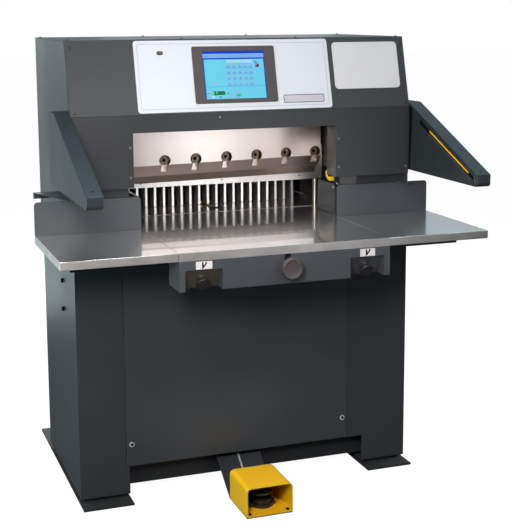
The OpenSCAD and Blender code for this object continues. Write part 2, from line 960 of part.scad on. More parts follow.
module gauge_carriage() {
  x0 = finger_middle - carriage_length / 2;
  y1 = carriage_y + carriage_d;
  color(dark) difference() {
    union() {
      box(x0, x0 + carriage_length, carriage_y, y1, table_height + 0.5, table_height + finger_height - 2);
      box(-neck_half, neck_half, carriage_y + 4, y1 - 4, under - 3, table_height + 1);
      box(-nut_half, nut_half, carriage_y - 25, y1 - 4, nut_z0, under - 2);
    }
    bar_y(carriage_y - 30, y1 + 10, 0, screw_z, screw_r + fit);
  }
}

module lead_screw() {
  color(steel) bar_y(screw_front, bearing_rear - 4, 0, screw_z, screw_r);
}

module gauge_motor() {
  color(dark) {
    difference() {
      box(-motor_half, motor_half, motor_front, motor_rear, screw_z - motor_half, under);
      bar_y(screw_front - 2, motor_rear + 1, 0, screw_z, screw_r + fit);
    }
    difference() {
      box(-25, 25, bearing_rear - bearing_d, bearing_rear, screw_z - 25, under);
      bar_y(bearing_rear - bearing_d - 1, bearing_rear - 2, 0, screw_z, screw_r + fit);
    }
  }
}

// Hydraulics and controls inside the stand
module hydraulic_tank() {
  color([0.30, 0.34, 0.38]) {
    difference() {
      translate([tank_x, tank_y, tray_z1]) cube([tank_w, tank_d, tank_top - tray_z1]);
      translate([tank_x + tank_wall, tank_y + tank_wall, tray_z1 + tank_wall])
        cube([tank_w - 2 * tank_wall, tank_d - 2 * tank_wall, tank_top - tray_z1 - 2 * tank_wall]);
    }
    translate([tank_x + 3 * filler_r, tank_y + 2 * filler_r, tank_top]) cylinder(r = filler_r, h = filler_h);
  }
}

module pump_motor() {
  axis_z = tray_z1 + pump_rise;
  x1 = pump_x + pump_l;
  color([0.35, 0.38, 0.40]) union() {
    bar_x(pump_x, x1, pump_y, axis_z, pump_r);
    bar_x(x1, x1 + pump_head_l, pump_y, axis_z, pump_head_r);
    box(pump_x + saddle_inset, x1 - saddle_inset, pump_y - pump_r + saddle_inset, pump_y + pump_r - saddle_inset,
        tray_z1, axis_z);
  }
}

module control_box() {
  color([0.62, 0.63, 0.64])
    box(frame_x - control_w, frame_x, clamp_mid + 50, frame_back, control_z, control_z + control_h);
}

// Console
module button_recess(side) {
  x0 = side * button_x - recess_w / 2;
  y0 = console_front;
  run_x(x0, x0 + recess_w, [[y0 - 1, recess_top], [y0 - 1, console_z0 - 1], [y0 + recess_run, console_z0 - 1],
                            [y0 + recess_run, console_z0], [y0 + recess_lip, recess_top]]);
}

module console() {
  x1 = console_w / 2;
  wall = button_x - recess_w / 2 - 7;
  boss_half = 25;
  color(charcoal) difference() {
    union() {
      difference() {
        box(-x1, x1, console_front, console_back, console_z0, under);
        box(-wall, wall, console_front + sheet, console_back - sheet, console_z0 + sheet, under + 1);
        for (side = [-1, 1])
          box(side * button_x - recess_w / 2, side * button_x + recess_w / 2,
              console_front + recess_run + 25, console_back - sheet, console_z0 + sheet, under + 1);
      }
      box(-boss_half, boss_half, knob_boss_y, knob_boss_y + knob_boss, console_z0 + 1, under);
    }
    for (side = [-1, 1]) {
      button_recess(side);
      button_pose(side) translate([0, 0, -button_stem - button_travel - 2])
        cylinder(r = button_stem_r + fit, h = button_stem + button_travel + 4);
    }
    box(-10, 10, console_front - 1, console_front + sheet + 1, knob_z, under + 1);
    bar_y(console_front - 1, console_front + sheet + 1, 0, knob_z, 10);
    bar_y(knob_boss_y - 1, knob_boss_y + knob_boss + 1, 0, knob_z, knob_shaft_r + fit);
  }
}

module cut_button(side) {
  color(dark) button_pose(side) union() {
    translate([0, 0, -button_stem]) cylinder(r = button_stem_r, h = button_stem + button_gap + 1);
    translate([0, 0, button_gap]) cylinder(r = button_d / 2, h = button_head);
  }
}

module left_cut_button() {
  cut_button(-1);
}

module right_cut_button() {
  cut_button(1);
}

module gauge_knob() {
  neck_r = knob_d / 5;
  dish = 4;
  color([0.55, 0.56, 0.58]) difference() {
    union() {
      bar_y(knob_face, knob_face + knob_rim, 0, knob_z, knob_d / 2);
      bar_y(knob_face + knob_rim - 1, console_front - 4, 0, knob_z, neck_r);
      bar_y(console_front - 5, knob_boss_y + knob_boss + 6, 0, knob_z, knob_shaft_r);
    }
    bar_y(knob_face - 1, knob_face + dish, 0, knob_z, knob_d / 2 - 5);
  }
}

// Foot switch
module pedal_bracket() {
  x0 = guard_x - guard_w / 2;
  x1 = guard_x + guard_w / 2;
  skin = guard_z;
  ramp_foot = guard_y1 + 2;
  color(dark) union() {
    run_x(x0, x1, [[guard_y0, 0], [ramp_foot, 0], [ramp_top[0] + 2, ramp_top[1]], [rail_y, ramp_top[1]],
                   [rail_y, ramp_top[1] + skin], [ramp_top[0], ramp_top[1] + skin], [ramp_foot - 2, skin],
                   [guard_y0, skin]]);
    bar_y(gland_y, rail_y, cable_x, gland_z, cable_r + 4);
  }
}

module guard_shell(w, h, r, y0, y1) {
  translate([guard_x - w / 2, y1, guard_z]) rotate([90, 0, 0]) linear_extrude(y1 - y0) domed(w, h, r);
}

module pedal_guard() {
  color(yellow) difference() {
    guard_shell(guard_w, guard_h - guard_z, guard_r, guard_y0, guard_y1);
    translate([0, 0, guard_wall])
      guard_shell(guard_w - 2 * guard_wall, guard_h - guard_z - 2 * guard_wall, guard_r - guard_wall,
                  guard_y0 - 1, guard_y1 - guard_wall);
    for (x = [-1, 1])
      translate([guard_x + x * (guard_w / 2 - 14), guard_y0 + 12, 0])
        cylinder(r = 4, h = guard_z + guard_wall + 1);
    bar_y(guard_y1 - guard_wall - 1, guard_y1 + 1, cable_x, cable_z, cable_r + 1);
  }
}

module pedal_switch() {
  z0 = guard_z + guard_wall;
  back = guard_y1 - 8;
  post_half = 6;
  color(dark) difference() {
    union() {
      box(guard_x - 46, guard_x + 46, switch_y - 12, back, z0, z0 + 7);
      box(cable_x - 9, cable_x + 9, back - 12, back, z0, cable_z + 9);
      translate([guard_x, switch_y, z0]) cylinder(r = switch_r + 3, h = 10);
      translate([guard_x, switch_y, z0]) cylinder(r = switch_r - 4, h = 24);
      for (x = [-pedal_half - 1 - 2 * post_half, pedal_half + 1])
        box(guard_x + x, guard_x + x + 2 * post_half, pedal_axis_y - 8, pedal_axis_y + 8, z0, pedal_axis_z + 9);
    }
    bar_x(guard_x - 60, guard_x + 60, pedal_axis_y, pedal_axis_z, 5 + fit);
  }
}

module pedal() {
  tread = 9;
  z0 = pedal_axis_z - 4;
  pin_end = pedal_half + 11;
  color(dark) union() {
    translate([guard_x, switch_y, z0]) cylinder(r = switch_r, h = tread);
    box(guard_x - switch_r, guard_x + switch_r, switch_y, pedal_axis_y, z0, z0 + tread);
    bar_x(guard_x - pedal_half, guard_x + pedal_half, pedal_axis_y, pedal_axis_z, 8);
    bar_x(guard_x - pin_end, guard_x + pin_end, pedal_axis_y, pedal_axis_z, 5);
  }
}

// A tube swept along a route that stays in one plane of constant x
function ring_angle(route, i) =
  let (a = route[max(i - 1, 0)], b = route[min(i + 1, len(route) - 1)])
  atan2(b[2] - a[2], b[1] - a[1]);

module swept_tube(route, r, sides) {
  last = len(route) - 1;
  points = [for (i = [0 : last]) let (a = ring_angle(route, i))
            for (k = [0 : sides - 1]) let (t = 360 * k / sides)
            route[i] + [r * cos(t), -r * sin(t) * sin(a), r * sin(t) * cos(a)]];
  walls = [for (i = [0 : last - 1]) for (k = [0 : sides - 1]) let (n = (k + 1) % sides)
           for (face = [[i * sides + k, i * sides + n, (i + 1) * sides + k],
                        [i * sides + n, (i + 1) * sides + n, (i + 1) * sides + k]]) face];
  start = [[for (k = [sides - 1 : -1 : 0]) k]];
  end = [[for (k = [0 : sides - 1]) last * sides + k]];
  polyhedron(points, concat(walls, start, end));
}

module pedal_cable() {
  color([0.62, 0.62, 0.60]) swept_tube(cable_route, cable_r, 10);
}

module power_inlet() {
  z0 = tray_z1 + inlet_rise;
  y0 = stand_back;
  color(dark) difference() {
    box(inlet_x, inlet_x + inlet_w, y0, y0 + inlet_d, z0, z0 + inlet_h);
    bar_y(y0 + 3, y0 + inlet_d + 1, inlet_x + inlet_w / 2, z0 + inlet_h / 2, socket_r);
  }
}

// Fasteners of the sheet covers
module screw_head() {
  cylinder(r = cover_screw_r, h = cover_screw_h);
}

module cover_screws() {
  edge = half - screw_inset;
  slope = (head_top - fold_height) / cos(lean);
  left = -window_left - screw_gap;
  right = window_right + screw_gap;
  color(steel) {
    on_hood() {
      for (x = [-edge, edge])
        for (y = [12, slope - 26])
          translate([x, y, 0]) screw_head();
    }
    for (place = [[left, screw_high], [left, screw_low], [right, screw_high], [right, screw_low],
                  [edge + 5, screw_corner], [-edge - 5, screw_corner], screw_lip])
      translate([place[0], -head_front, place[1]]) rotate([90, 0, 0]) screw_head();
    for (x = [-edge, -200, 200, edge])
      for (y = [-head_front + hood_lean + 22, head_back - 20])
        translate([x, y, head_top]) screw_head();
    both_sides() wing_pose()
      for (y = [26, 421])
        translate([half + wing_thick / 2, y, 0]) screw_head();
  }
}

stands();
feet();
crossmembers();
base_tray();
rear_panel();
access_panel();
left_panel_lock();
right_panel_lock();
side_frames();
top_beam();
centre_table();
left_table_wing();
right_table_wing();
table_support_bar();
fences();
side_guides();
cutting_stick();
front_hood();
lower_front_cover();
window_jambs();
top_cover();
head_sides();
rear_head_panel();
fascia();
screen_bezel();
screen();
power_key();
blank_plates();
left_guard_wing();
right_guard_wing();
light_curtains();
side_shelves();
throat_bracket();
knife_carrier();
knife_blade();
knife_bolts();
knife_cylinder();
knife_ram();
clamp_beam();
clamp_pull_frame();
clamp_cylinder();
gauge_fingers();
gauge_carriage();
lead_screw();
gauge_motor();
hydraulic_tank();
pump_motor();
control_box();
console();
left_cut_button();
right_cut_button();
gauge_knob();
pedal_bracket();
pedal_guard();
pedal_switch();
pedal();
pedal_cable();
rear_table_guard();
cover_screws();
power_inlet();
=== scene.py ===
import json
import math
import bpy
import bmesh
import numpy as np
from mathutils import Matrix

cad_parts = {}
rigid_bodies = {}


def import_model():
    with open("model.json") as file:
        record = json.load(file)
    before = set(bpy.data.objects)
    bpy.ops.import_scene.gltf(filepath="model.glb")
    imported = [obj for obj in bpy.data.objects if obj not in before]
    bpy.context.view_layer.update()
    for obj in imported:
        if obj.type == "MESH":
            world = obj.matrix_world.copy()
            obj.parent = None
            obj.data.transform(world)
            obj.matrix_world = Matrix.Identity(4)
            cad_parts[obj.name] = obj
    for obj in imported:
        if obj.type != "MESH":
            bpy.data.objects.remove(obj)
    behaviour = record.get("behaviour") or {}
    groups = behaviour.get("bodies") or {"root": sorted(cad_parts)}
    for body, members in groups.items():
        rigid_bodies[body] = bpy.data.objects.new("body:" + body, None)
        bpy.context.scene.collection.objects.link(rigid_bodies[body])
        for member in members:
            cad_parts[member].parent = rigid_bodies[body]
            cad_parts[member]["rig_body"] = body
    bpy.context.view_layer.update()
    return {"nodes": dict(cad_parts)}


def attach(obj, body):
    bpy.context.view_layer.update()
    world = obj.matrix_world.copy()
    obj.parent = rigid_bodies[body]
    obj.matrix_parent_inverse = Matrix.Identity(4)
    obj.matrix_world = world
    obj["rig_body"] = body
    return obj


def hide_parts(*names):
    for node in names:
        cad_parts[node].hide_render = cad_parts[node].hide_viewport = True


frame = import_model()
nodes = frame["nodes"]
scene = bpy.context.scene
print("frame loaded:", len(nodes), "nodes")

mm = 0.001  # shapes are worked out in millimetres


def addObject(name, data):
    thing = bpy.data.objects.new(name, data)
    scene.collection.objects.link(thing)
    return thing


def putMesh(name, shape, body, material, smooth=True, replaces=()):
    # a shape is a pair: points as an array of n rows, faces as lists of point numbers
    verts, faces = shape
    mesh = bpy.data.meshes.new(name)
    mesh.from_pydata((np.asarray(verts, float) * mm).tolist(), [], faces)
    mesh.validate()
    if smooth:
        creaseByAngle(mesh)
    mesh.materials.append(material)
    piece = addObject(name, mesh)
    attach(piece, body)
    if replaces:
        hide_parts(*replaces)
    return piece


def creaseByAngle(mesh, degrees=35):
    # edges whose two faces turn by more than the angle stay sharp
    bm = bmesh.new()
    bm.from_mesh(mesh)
    limit = math.radians(degrees)
    for face in bm.faces:
        face.smooth = True
    for edge in bm.edges:
        edge.smooth = len(edge.link_faces) == 2 and edge.calc_face_angle(0.0) < limit
    bm.to_mesh(mesh)
    bm.free()


def gridFaces(rows, cols):
    # quads between neighbouring rows of a grid whose columns close into a ring
    r = np.arange(rows - 1)[:, None]
    c = np.arange(cols)[None, :]
    n = (c + 1) % cols
    quads = np.stack([r * cols + c, r * cols + n, (r + 1) * cols + n, (r + 1) * cols + c], -1)
    return quads.reshape(-1, 4).tolist()


def closedFaces(rows, cols):
    # the grid with a face over its first row and one over its last
    last = (rows - 1) * cols
    return gridFaces(rows, cols) + [list(range(cols))[::-1], list(range(last, last + cols))]


def loopFaces(cols):
    # a grid of four rows whose last row joins the first again
    last = 3 * cols
    return gridFaces(4, cols) + [[last + i, last + (i + 1) % cols, (i + 1) % cols, i] for i in range(cols)]


def joinShapes(shapes):
    # several shapes as one: point numbers of each follow on from the one before
    verts, faces, count = [], [], 0
    for v, f in shapes:
        verts.append(np.asarray(v, float))
        faces += [[i + count for i in face] for face in f]
        count += len(v)
    return np.concatenate(verts), faces


def placed(shape, origin, xAxis=(1, 0, 0), yAxis=(0, 1, 0), zAxis=(0, 0, 1)):
    # local x, y and z laid along three unit vectors from an origin
    v, f = shape
    return np.asarray(v, float) @ np.array([xAxis, yAxis, zAxis], float) + np.array(origin, float), f


# local x, y and z on a face that looks to the front, the back, the right and the left
frontAxes = [(1, 0, 0), (0, 0, 1), (0, -1, 0)]
backAxes = [(-1, 0, 0), (0, 0, 1), (0, 1, 0)]
rightAxes = [(0, 1, 0), (0, 0, 1), (1, 0, 0)]
leftAxes = [(0, -1, 0), (0, 0, 1), (-1, 0, 0)]


def repeated(shape, spots, axes=()):
    # the same shape at several spots, as one
    return joinShapes([placed(shape, spot, *axes) for spot in spots])


def mirrored(shape):
    # the same shape on the other side, with its faces turned back outwards
    v, f = shape
    return np.asarray(v, float) * [-1, 1, 1], [face[::-1] for face in f]


def bothSides(shapes):
    return joinShapes(shapes + [mirrored(shape) for shape in shapes])


def roundRect(w, h, r, steps=6):
    # four quarter circles about the corner centres, counter-clockwise
    quarter = math.pi / 2
    a = np.linspace(0, quarter, steps)
    x, y = w / 2 - r, h / 2 - r
    corners = [(x, y), (-x, y), (-x, -y), (x, -y)]
    return np.concatenate([np.stack([cx + r * np.cos(a + k * quarter), cy + r * np.sin(a + k * quarter)], 1)
                           for k, (cx, cy) in enumerate(corners)])


def ringPoints(r, sides):
    a = np.linspace(0, 2 * math.pi, sides, endpoint=False)
    return np.stack([np.cos(a), np.sin(a)], 1) * r


def insetOutline(outline, d):
    # each point moves inwards along the mitre of its two edges
    tiny = 1e-12
    p = np.asarray(outline, float)
    e = np.roll(p, -1, 0) - p
    e /= np.linalg.norm(e, axis=1)[:, None] + tiny
    n = np.stack([-e[:, 1], e[:, 0]], 1)
    m = n + np.roll(n, 1, 0)
    m /= np.sum(m * n, 1)[:, None] + tiny
    return p + m * d


def plateShape(outline, depth, rim=0.0):
    # an outline raised along z, its upper edge turned over a quarter circle of radius rim
    p = np.asarray(outline, float)
    levels = [(0.0, 0.0), (0.0, depth)]
    if rim:
        turn = np.radians([0, 30, 60, 90])
        levels = [(0.0, 0.0)] + [(rim * (1 - math.cos(a)), depth - rim + rim * math.sin(a)) for a in turn]
    rows = [np.column_stack([insetOutline(p, d), np.full(len(p), z)]) for d, z in levels]
    return np.concatenate(rows), closedFaces(len(rows), len(p))


def discShape(radius, sides, depth):
    return plateShape(ringPoints(radius, sides), depth)


def frameShape(outer, inner, depth):
    # a flat ring between two outlines with the same number of points
    levels = ((outer, 0), (outer, depth), (inner, depth), (inner, 0))
    rows = [np.column_stack([p, np.full(len(p), z)]) for p, z in levels]
    return np.concatenate(rows), loopFaces(len(outer))


def turnedShape(profile, sides=32, ribDepth=0.0):
    # radius and height pairs turned about z; every second column sits in by a share of the radius
    p = np.asarray(profile, float)
    a = np.linspace(0, 2 * math.pi, sides, endpoint=False)
    scale = 1 - ribDepth * (np.arange(sides) % 2)
    x = p[:, :1] * (scale * np.cos(a))[None, :]
    y = p[:, :1] * (scale * np.sin(a))[None, :]
    z = np.repeat(p[:, 1:], sides, 1)
    return np.stack([x, y, z], -1).reshape(-1, 3), closedFaces(len(p), sides)


def tubeShape(path, radius, sides):
    # a circle carried along a path that stays in one plane of constant x
    p = np.asarray(path, float)
    t = np.gradient(p, axis=0)
    t /= np.linalg.norm(t, axis=1)[:, None]
    side = np.array([1.0, 0, 0])
    up = np.cross(t, side)
    c = ringPoints(1.0, sides)
    rows = p[:, None, :] + radius * (c[None, :, :1] * side + c[None, :, 1:] * up[:, None, :])
    return rows.reshape(-1, 3), closedFaces(len(p), sides)


def smoothPath(points, count):
    # Catmull-Rom curve through the points, evenly stepped in its parameter
    p = np.asarray(points, float)
    q = np.concatenate([2 * p[:1] - p[1:2], p, 2 * p[-1:] - p[-2:-1]])
    s = np.linspace(0, len(p) - 1 - 1e-9, count)
    i = s.astype(int)
    t = (s - i)[:, None]
    a, b, c, d = q[i], q[i + 1], q[i + 2], q[i + 3]
    square, cube = 2 * a - 5 * b + 4 * c - d, 3 * b - a - 3 * c + d
    return 0.5 * (2 * b + (c - a) * t + square * t ** 2 + cube * t ** 3)


def boxShape(x0, x1, y0, y1, z0, z1, rim=0.0):
    # a block between two corners, its upper edges rounded by rim
    w, h = x1 - x0, y1 - y0
    v, f = plateShape([(w, h), (0, h), (0, 0), (w, 0)], z1 - z0, rim)
    return v + [x0, y0, z0], f


lettering = {"thick": 0.04, "curveSteps": 2}


def textShape(words, size, weight):
    # figures as a thin mesh, centred on the origin
    curve = bpy.data.curves.new("figures", "FONT")
    curve.body = words
    curve.size = size
    curve.align_x = "CENTER"
    curve.align_y = "CENTER"
    curve.extrude = lettering["thick"]
    curve.offset = weight * size
    curve.resolution_u = lettering["curveSteps"]
    holder = addObject("figures", curve)
    bpy.context.view_layer.update()
    mesh = holder.evaluated_get(bpy.context.evaluated_depsgraph_get()).to_mesh()
    verts = np.empty(len(mesh.vertices) * 3)
    mesh.vertices.foreach_get("co", verts)
    faces = [list(p.vertices) for p in mesh.polygons]
    bpy.data.objects.remove(holder)
    bpy.data.curves.remove(curve)
    return verts.reshape(-1, 3), faces


# points merged within metres, faces joined within degrees, edges rounded from an angle in degrees
rounding = {"merge": 2e-5, "flat": 0.5, "sharp": 40, "segments": 2, "upright": 0.5}


def softCopy(node, width, material, edgeMaterial=None):
    # the solid's own faces, merged and joined where flat, with rounded edges
    source = nodes[node]
    bm = bmesh.new()
    bm.from_mesh(source.data)
    bmesh.ops.remove_doubles(bm, verts=bm.verts, dist=rounding["merge"])
    bmesh.ops.dissolve_limit(bm, angle_limit=math.radians(rounding["flat"]), verts=bm.verts, edges=bm.edges)
    bm.verts.index_update()
    bm.normal_update()
    verts = [tuple(v.co) for v in bm.verts]
    faces = [[v.index for v in f.verts] for f in bm.faces]
    upright = [abs(f.normal.z) < rounding["upright"] for f in bm.faces]
    bm.free()
    mesh = bpy.data.meshes.new(node + "Soft")
    mesh.from_pydata(verts, [], faces)
    mesh.polygons.foreach_set("use_smooth", np.ones(len(faces), bool))
    mesh.materials.append(material)
    if edgeMaterial:
        mesh.materials.append(edgeMaterial)
        mesh.polygons.foreach_set("material_index", np.array(upright, np.int32))
    piece = addObject(node + "Soft", mesh)
    bevel = piece.modifiers.new("roundEdges", "BEVEL")
    bevel.width = width
    bevel.segments = rounding["segments"]
    bevel.limit_method = "ANGLE"
    bevel.angle_limit = math.radians(rounding["sharp"])
    bevel.harden_normals = True
    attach(piece, source["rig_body"])
    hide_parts(node)


def setInputs(node, values):
    for label, value in values.items():
        node.inputs[label].default_value = value


def addNode(tree, kind, values=None, operation=None):
    node = tree.nodes.new(kind)
    if operation:
        node.operation = operation
    setInputs(node, values or {})
    return node


def newGroup(name, inputs):
    # a node group that takes a vector and some values, and gives a height and a tone
    group = bpy.data.node_groups.new(name, "ShaderNodeTree")
    group.interface.new_socket("Vector", in_out="INPUT", socket_type="NodeSocketVector")
    for label, kind, value in inputs:
        group.interface.new_socket(label, in_out="INPUT", socket_type=kind).default_value = value
    for label in ("Height", "Tone"):
        group.interface.new_socket(label, in_out="OUTPUT", socket_type="NodeSocketFloat")
    return group, group.nodes.new("NodeGroupInput"), group.nodes.new("NodeGroupOutput")


def makeGrainGroup():
    # powder paint: small noise for height, broad noise for tone
    group, gin, gout = newGroup("powderGrain", [("Grain", "NodeSocketFloat", 900.0),
                                                ("Broad", "NodeSocketFloat", 3.0)])
    fine = addNode(group, "ShaderNodeTexNoise", {"Detail": 3})
    broad = addNode(group, "ShaderNodeTexNoise", {"Detail": 4})
    link = group.links.new
    link(gin.outputs["Vector"], fine.inputs["Vector"])
    link(gin.outputs["Vector"], broad.inputs["Vector"])
    link(gin.outputs["Grain"], fine.inputs["Scale"])
    link(gin.outputs["Broad"], broad.inputs["Scale"])
    link(fine.outputs["Fac"], gout.inputs["Height"])
    link(broad.outputs["Fac"], gout.inputs["Tone"])
    return group


def makeBrushGroup():
    # bare metal: noise stretched along the grinding, plus broad clouds
    group, gin, gout = newGroup("brushLines", [("Stretch", "NodeSocketVector", (1, 1, 1)),
                                               ("Scale", "NodeSocketFloat", 300.0),
                                               ("Cloud", "NodeSocketFloat", 6.0)])
    scale = addNode(group, "ShaderNodeVectorMath", operation="MULTIPLY")
    lines = addNode(group, "ShaderNodeTexNoise", {"Detail": 4, "Roughness": 0.6})
    cloud = addNode(group, "ShaderNodeTexNoise", {"Detail": 3})
    link = group.links.new
    link(gin.outputs["Vector"], scale.inputs[0])
    link(gin.outputs["Stretch"], scale.inputs[1])
    link(scale.outputs["Vector"], lines.inputs["Vector"])
    link(gin.outputs["Scale"], lines.inputs["Scale"])
    link(gin.outputs["Vector"], cloud.inputs["Vector"])
    link(gin.outputs["Cloud"], cloud.inputs["Scale"])
    link(lines.outputs["Fac"], gout.inputs["Height"])
    link(cloud.outputs["Fac"], gout.inputs["Tone"])
    return group


grainGroup = makeGrainGroup()
brushGroup = makeBrushGroup()
noiseReach = {"From Min": 0.3, "From Max": 0.7}  # most of a noise lies between these
bumpHeight = 0.0003
polishCoat = {"Coat Roughness": 0.03, "Coat IOR": 2.2}
screenGlass = {"Roughness": 0.5, "Specular IOR Level": 0.05}
screenClouds = {"broad": 9.0, "dim": 0.9, "base": 0.1}


def newMaterial(name):
    material = bpy.data.materials.new(name)
    material.use_nodes = True
    return material, material.node_tree, material.node_tree.nodes["Principled BSDF"]


def startMaterial(name, groupTree):
    material, tree, shader = newMaterial(name)
    coords = addNode(tree, "ShaderNodeTexCoord")
    group = addNode(tree, "ShaderNodeGroup")
    group.node_tree = groupTree
    tree.links.new(coords.outputs["Object"], group.inputs["Vector"])
    return material, tree, shader, group


def spread(tree, value, low, high):
    node = addNode(tree, "ShaderNodeMapRange", {**noiseReach, "To Min": low, "To Max": high})
    tree.links.new(value, node.inputs["Value"])
    return node.outputs["Result"]


def colorMix(tree, factor, first, second):
    mix = tree.nodes.new("ShaderNodeMix")
    mix.data_type = "RGBA"
    setInputs(mix, {"A": (*first, 1), "B": (*second, 1)})
    tree.links.new(factor, mix.inputs["Factor"])
    return mix.outputs["Result"]


def toneColor(tree, value, dark, light):
    return colorMix(tree, spread(tree, value, 0.0, 1.0), dark, light)


def dressShader(tree, shader, color, unevenness, rough, height, strength):
    # colour, a roughness that follows a noise, and a bump
    bump = addNode(tree, "ShaderNodeBump", {"Strength": strength, "Distance": bumpHeight})
    tree.links.new(color, shader.inputs["Base Color"])
    tree.links.new(spread(tree, unevenness, *rough), shader.inputs["Roughness"])
    tree.links.new(height, bump.inputs["Height"])
    tree.links.new(bump.outputs["Normal"], shader.inputs["Normal"])


def coated(name, dark, light, rough, grain, bump, broad=3.0):
    # paint or plastic with a fine grain and a soft change of tone
    material, tree, shader, group = startMaterial(name, grainGroup)
    setInputs(group, {"Grain": grain, "Broad": broad})
    tone = group.outputs["Tone"]
    dressShader(tree, shader, toneColor(tree, tone, dark, light), tone, rough, group.outputs["Height"], bump)
    return material


def endPainted(name, near, far, limit, rough, bump=0.1):
    # paint that changes colour beyond a limit along x
    material, tree, shader, group = startMaterial(name, grainGroup)
    parts = addNode(tree, "ShaderNodeSeparateXYZ")
    beyond = addNode(tree, "ShaderNodeMath", {1: limit * mm}, "GREATER_THAN")
    tree.links.new(tree.nodes["Texture Coordinate"].outputs["Object"], parts.inputs["Vector"])
    tree.links.new(parts.outputs["X"], beyond.inputs[0])
    color = colorMix(tree, beyond.outputs["Value"], near, far)
    dressShader(tree, shader, color, group.outputs["Tone"], rough, group.outputs["Height"], bump)
    return material


def brushed(name, dark, light, rough, stretch, scale, bump=0.03, cloud=6.0, metallic=1.0, polish=0.0):
    # bare metal, ground along the axis whose stretch is small; polish adds a sharp reflection
    material, tree, shader, group = startMaterial(name, brushGroup)
    setInputs(group, {"Stretch": stretch, "Scale": scale, "Cloud": cloud})
    setInputs(shader, {"Metallic": metallic, "Coat Weight": polish, **polishCoat})
    tone, height = group.outputs["Tone"], group.outputs["Height"]
    dressShader(tree, shader, toneColor(tree, tone, dark, light), height, rough, height, bump)
    return material


def lit(name, color, strength):
    # a lit area of the screen, a little uneven
    material, tree, shader, group = startMaterial(name, grainGroup)
    setInputs(group, {"Broad": screenClouds["broad"]})
    dim, base = ([screenClouds[share] * c for c in color] for share in ("dim", "base"))
    tree.links.new(toneColor(tree, group.outputs["Tone"], dim, color), shader.inputs["Emission Color"])
    setInputs(shader, {"Base Color": (*base, 1), "Emission Strength": strength, **screenGlass})
    return material


# one charcoal paint, copied lighter and darker: these tones times a share of each; shares above 1 are painted
# light on the panel, console and fences, shares below 1 are painted shade on the lower cover and guard wings
charcoalTone = {"dark": (0.0305, 0.0335, 0.0385), "light": (0.0365, 0.0395, 0.0455), "rough": (0.34, 0.42),
                "grain": 700.0, "bump": 0.10, "wingSheen": (0.58, 0.90, 1.0, 1)}
charcoalLitShadedCopies = {"charcoalPaint": 1.0, "litPanelPaint": 1.22, "litConsolePaint": 1.75, "shadedCoverPaint": 0.76,
                  "shadedWingPaint": 0.60, "shadedLeftWingPaint": 0.66}
charcoal, litPanelPaint, litConsolePaint, shadedCoverPaint, shadedWingPaint, shadedLeftWingPaint = [
    coated(shade, [k * c for c in charcoalTone["dark"]], [k * c for c in charcoalTone["light"]],
           charcoalTone["rough"], charcoalTone["grain"], charcoalTone["bump"])
    for shade, k in charcoalLitShadedCopies.items()]
for finish in (shadedWingPaint, shadedLeftWingPaint):
    setInputs(finish.node_tree.nodes["Principled BSDF"], {"Specular Tint": charcoalTone["wingSheen"]})
# dark and light tone, roughness from and to, then the grain or the brushing
blackPaint = coated("blackPaint", (0.011, 0.012, 0.014), (0.016, 0.017, 0.019), (0.40, 0.52), 700.0, 0.12)
tableSteel = brushed("tableSteel", (0.92, 0.88, 0.865), (0.98, 0.94, 0.925), (0.20, 0.26), (1, 0.04, 1),
                     250.0, 0.0004, 4.0, 0.93, 1.0)
edgeSteel = brushed("tableEdge", (0.52, 0.49, 0.48), (0.66, 0.62, 0.61), (0.38, 0.55), (0.06, 1, 1),
                    300.0, 0.05, 14.0)
carrierSteel = brushed("carrierSteel", (0.70, 0.605, 0.575), (0.82, 0.71, 0.675), (0.27, 0.34), (0.04, 1, 1),
                       320.0, 0.01, 5.0)
bladeSteel = brushed("bladeSteel", (0.30, 0.235, 0.205), (0.345, 0.27, 0.235), (0.34, 0.38), (0.04, 1, 1),
                     320.0, 0.0, 8.0)
clampSteel = brushed("clampSteel", (0.66, 0.61, 0.60), (0.73, 0.68, 0.67), (0.28, 0.36), (0.04, 1, 1),
                     300.0, 0.01, 9.0)
clampUnder = coated("clampUnderside", (0.46, 0.42, 0.41), (0.54, 0.50, 0.49), (0.45, 0.55), 700.0, 0.03, 9.0)
fingerSteel = brushed("fingerSteel", (0.92, 0.88, 0.87), (0.97, 0.94, 0.93), (0.36, 0.46), (1, 1, 0.05),
                      300.0, 0.02)
jambBrown = coated("jambBrown", (0.024, 0.020, 0.018), (0.032, 0.027, 0.024), (0.40, 0.50), 700.0, 0.06)
# dull brown, painted shade and dark reflection for the steel at the end of the knife carrier
shadedEndBrown = coated("shadedEndPlateBrown", (0.13, 0.110, 0.100), (0.16, 0.136, 0.124), (0.35, 0.45), 500.0, 0.04)
rodSteel = brushed("rodSteel", (0.36, 0.32, 0.27), (0.46, 0.41, 0.35), (0.34, 0.44), (1, 1, 0.3),
                   300.0, 0.008)
zincSteel = brushed("zincScrew", (0.40, 0.38, 0.37), (0.52, 0.50, 0.48), (0.30, 0.42), (1, 1, 1), 900.0)
coverSteel = brushed("coverScrew", (0.17, 0.165, 0.16), (0.24, 0.23, 0.225), (0.34, 0.46), (1, 1, 1), 900.0)
darkSteel = brushed("blackenedScrew", (0.060, 0.057, 0.055), (0.10, 0.095, 0.09), (0.32, 0.45), (1, 1, 1),
                    900.0)
bronze = brushed("recessBronze", (0.17, 0.125, 0.095), (0.27, 0.205, 0.16), (0.30, 0.45), (1, 0.1, 1),
                 300.0, 0.05, 40.0)
boltBrown = brushed("boltBrown", (0.15, 0.115, 0.09), (0.24, 0.185, 0.15), (0.28, 0.42), (1, 1, 1),
                    900.0, 0.05, 60.0)
brass = brushed("brass", (0.62, 0.36, 0.10), (0.75, 0.46, 0.15), (0.22, 0.34), (1, 1, 1), 400.0, 0.05)
yellow = coated("safetyYellow", (0.88, 0.475, 0.007), (0.94, 0.515, 0.010), (0.38, 0.48), 600.0, 0.10)
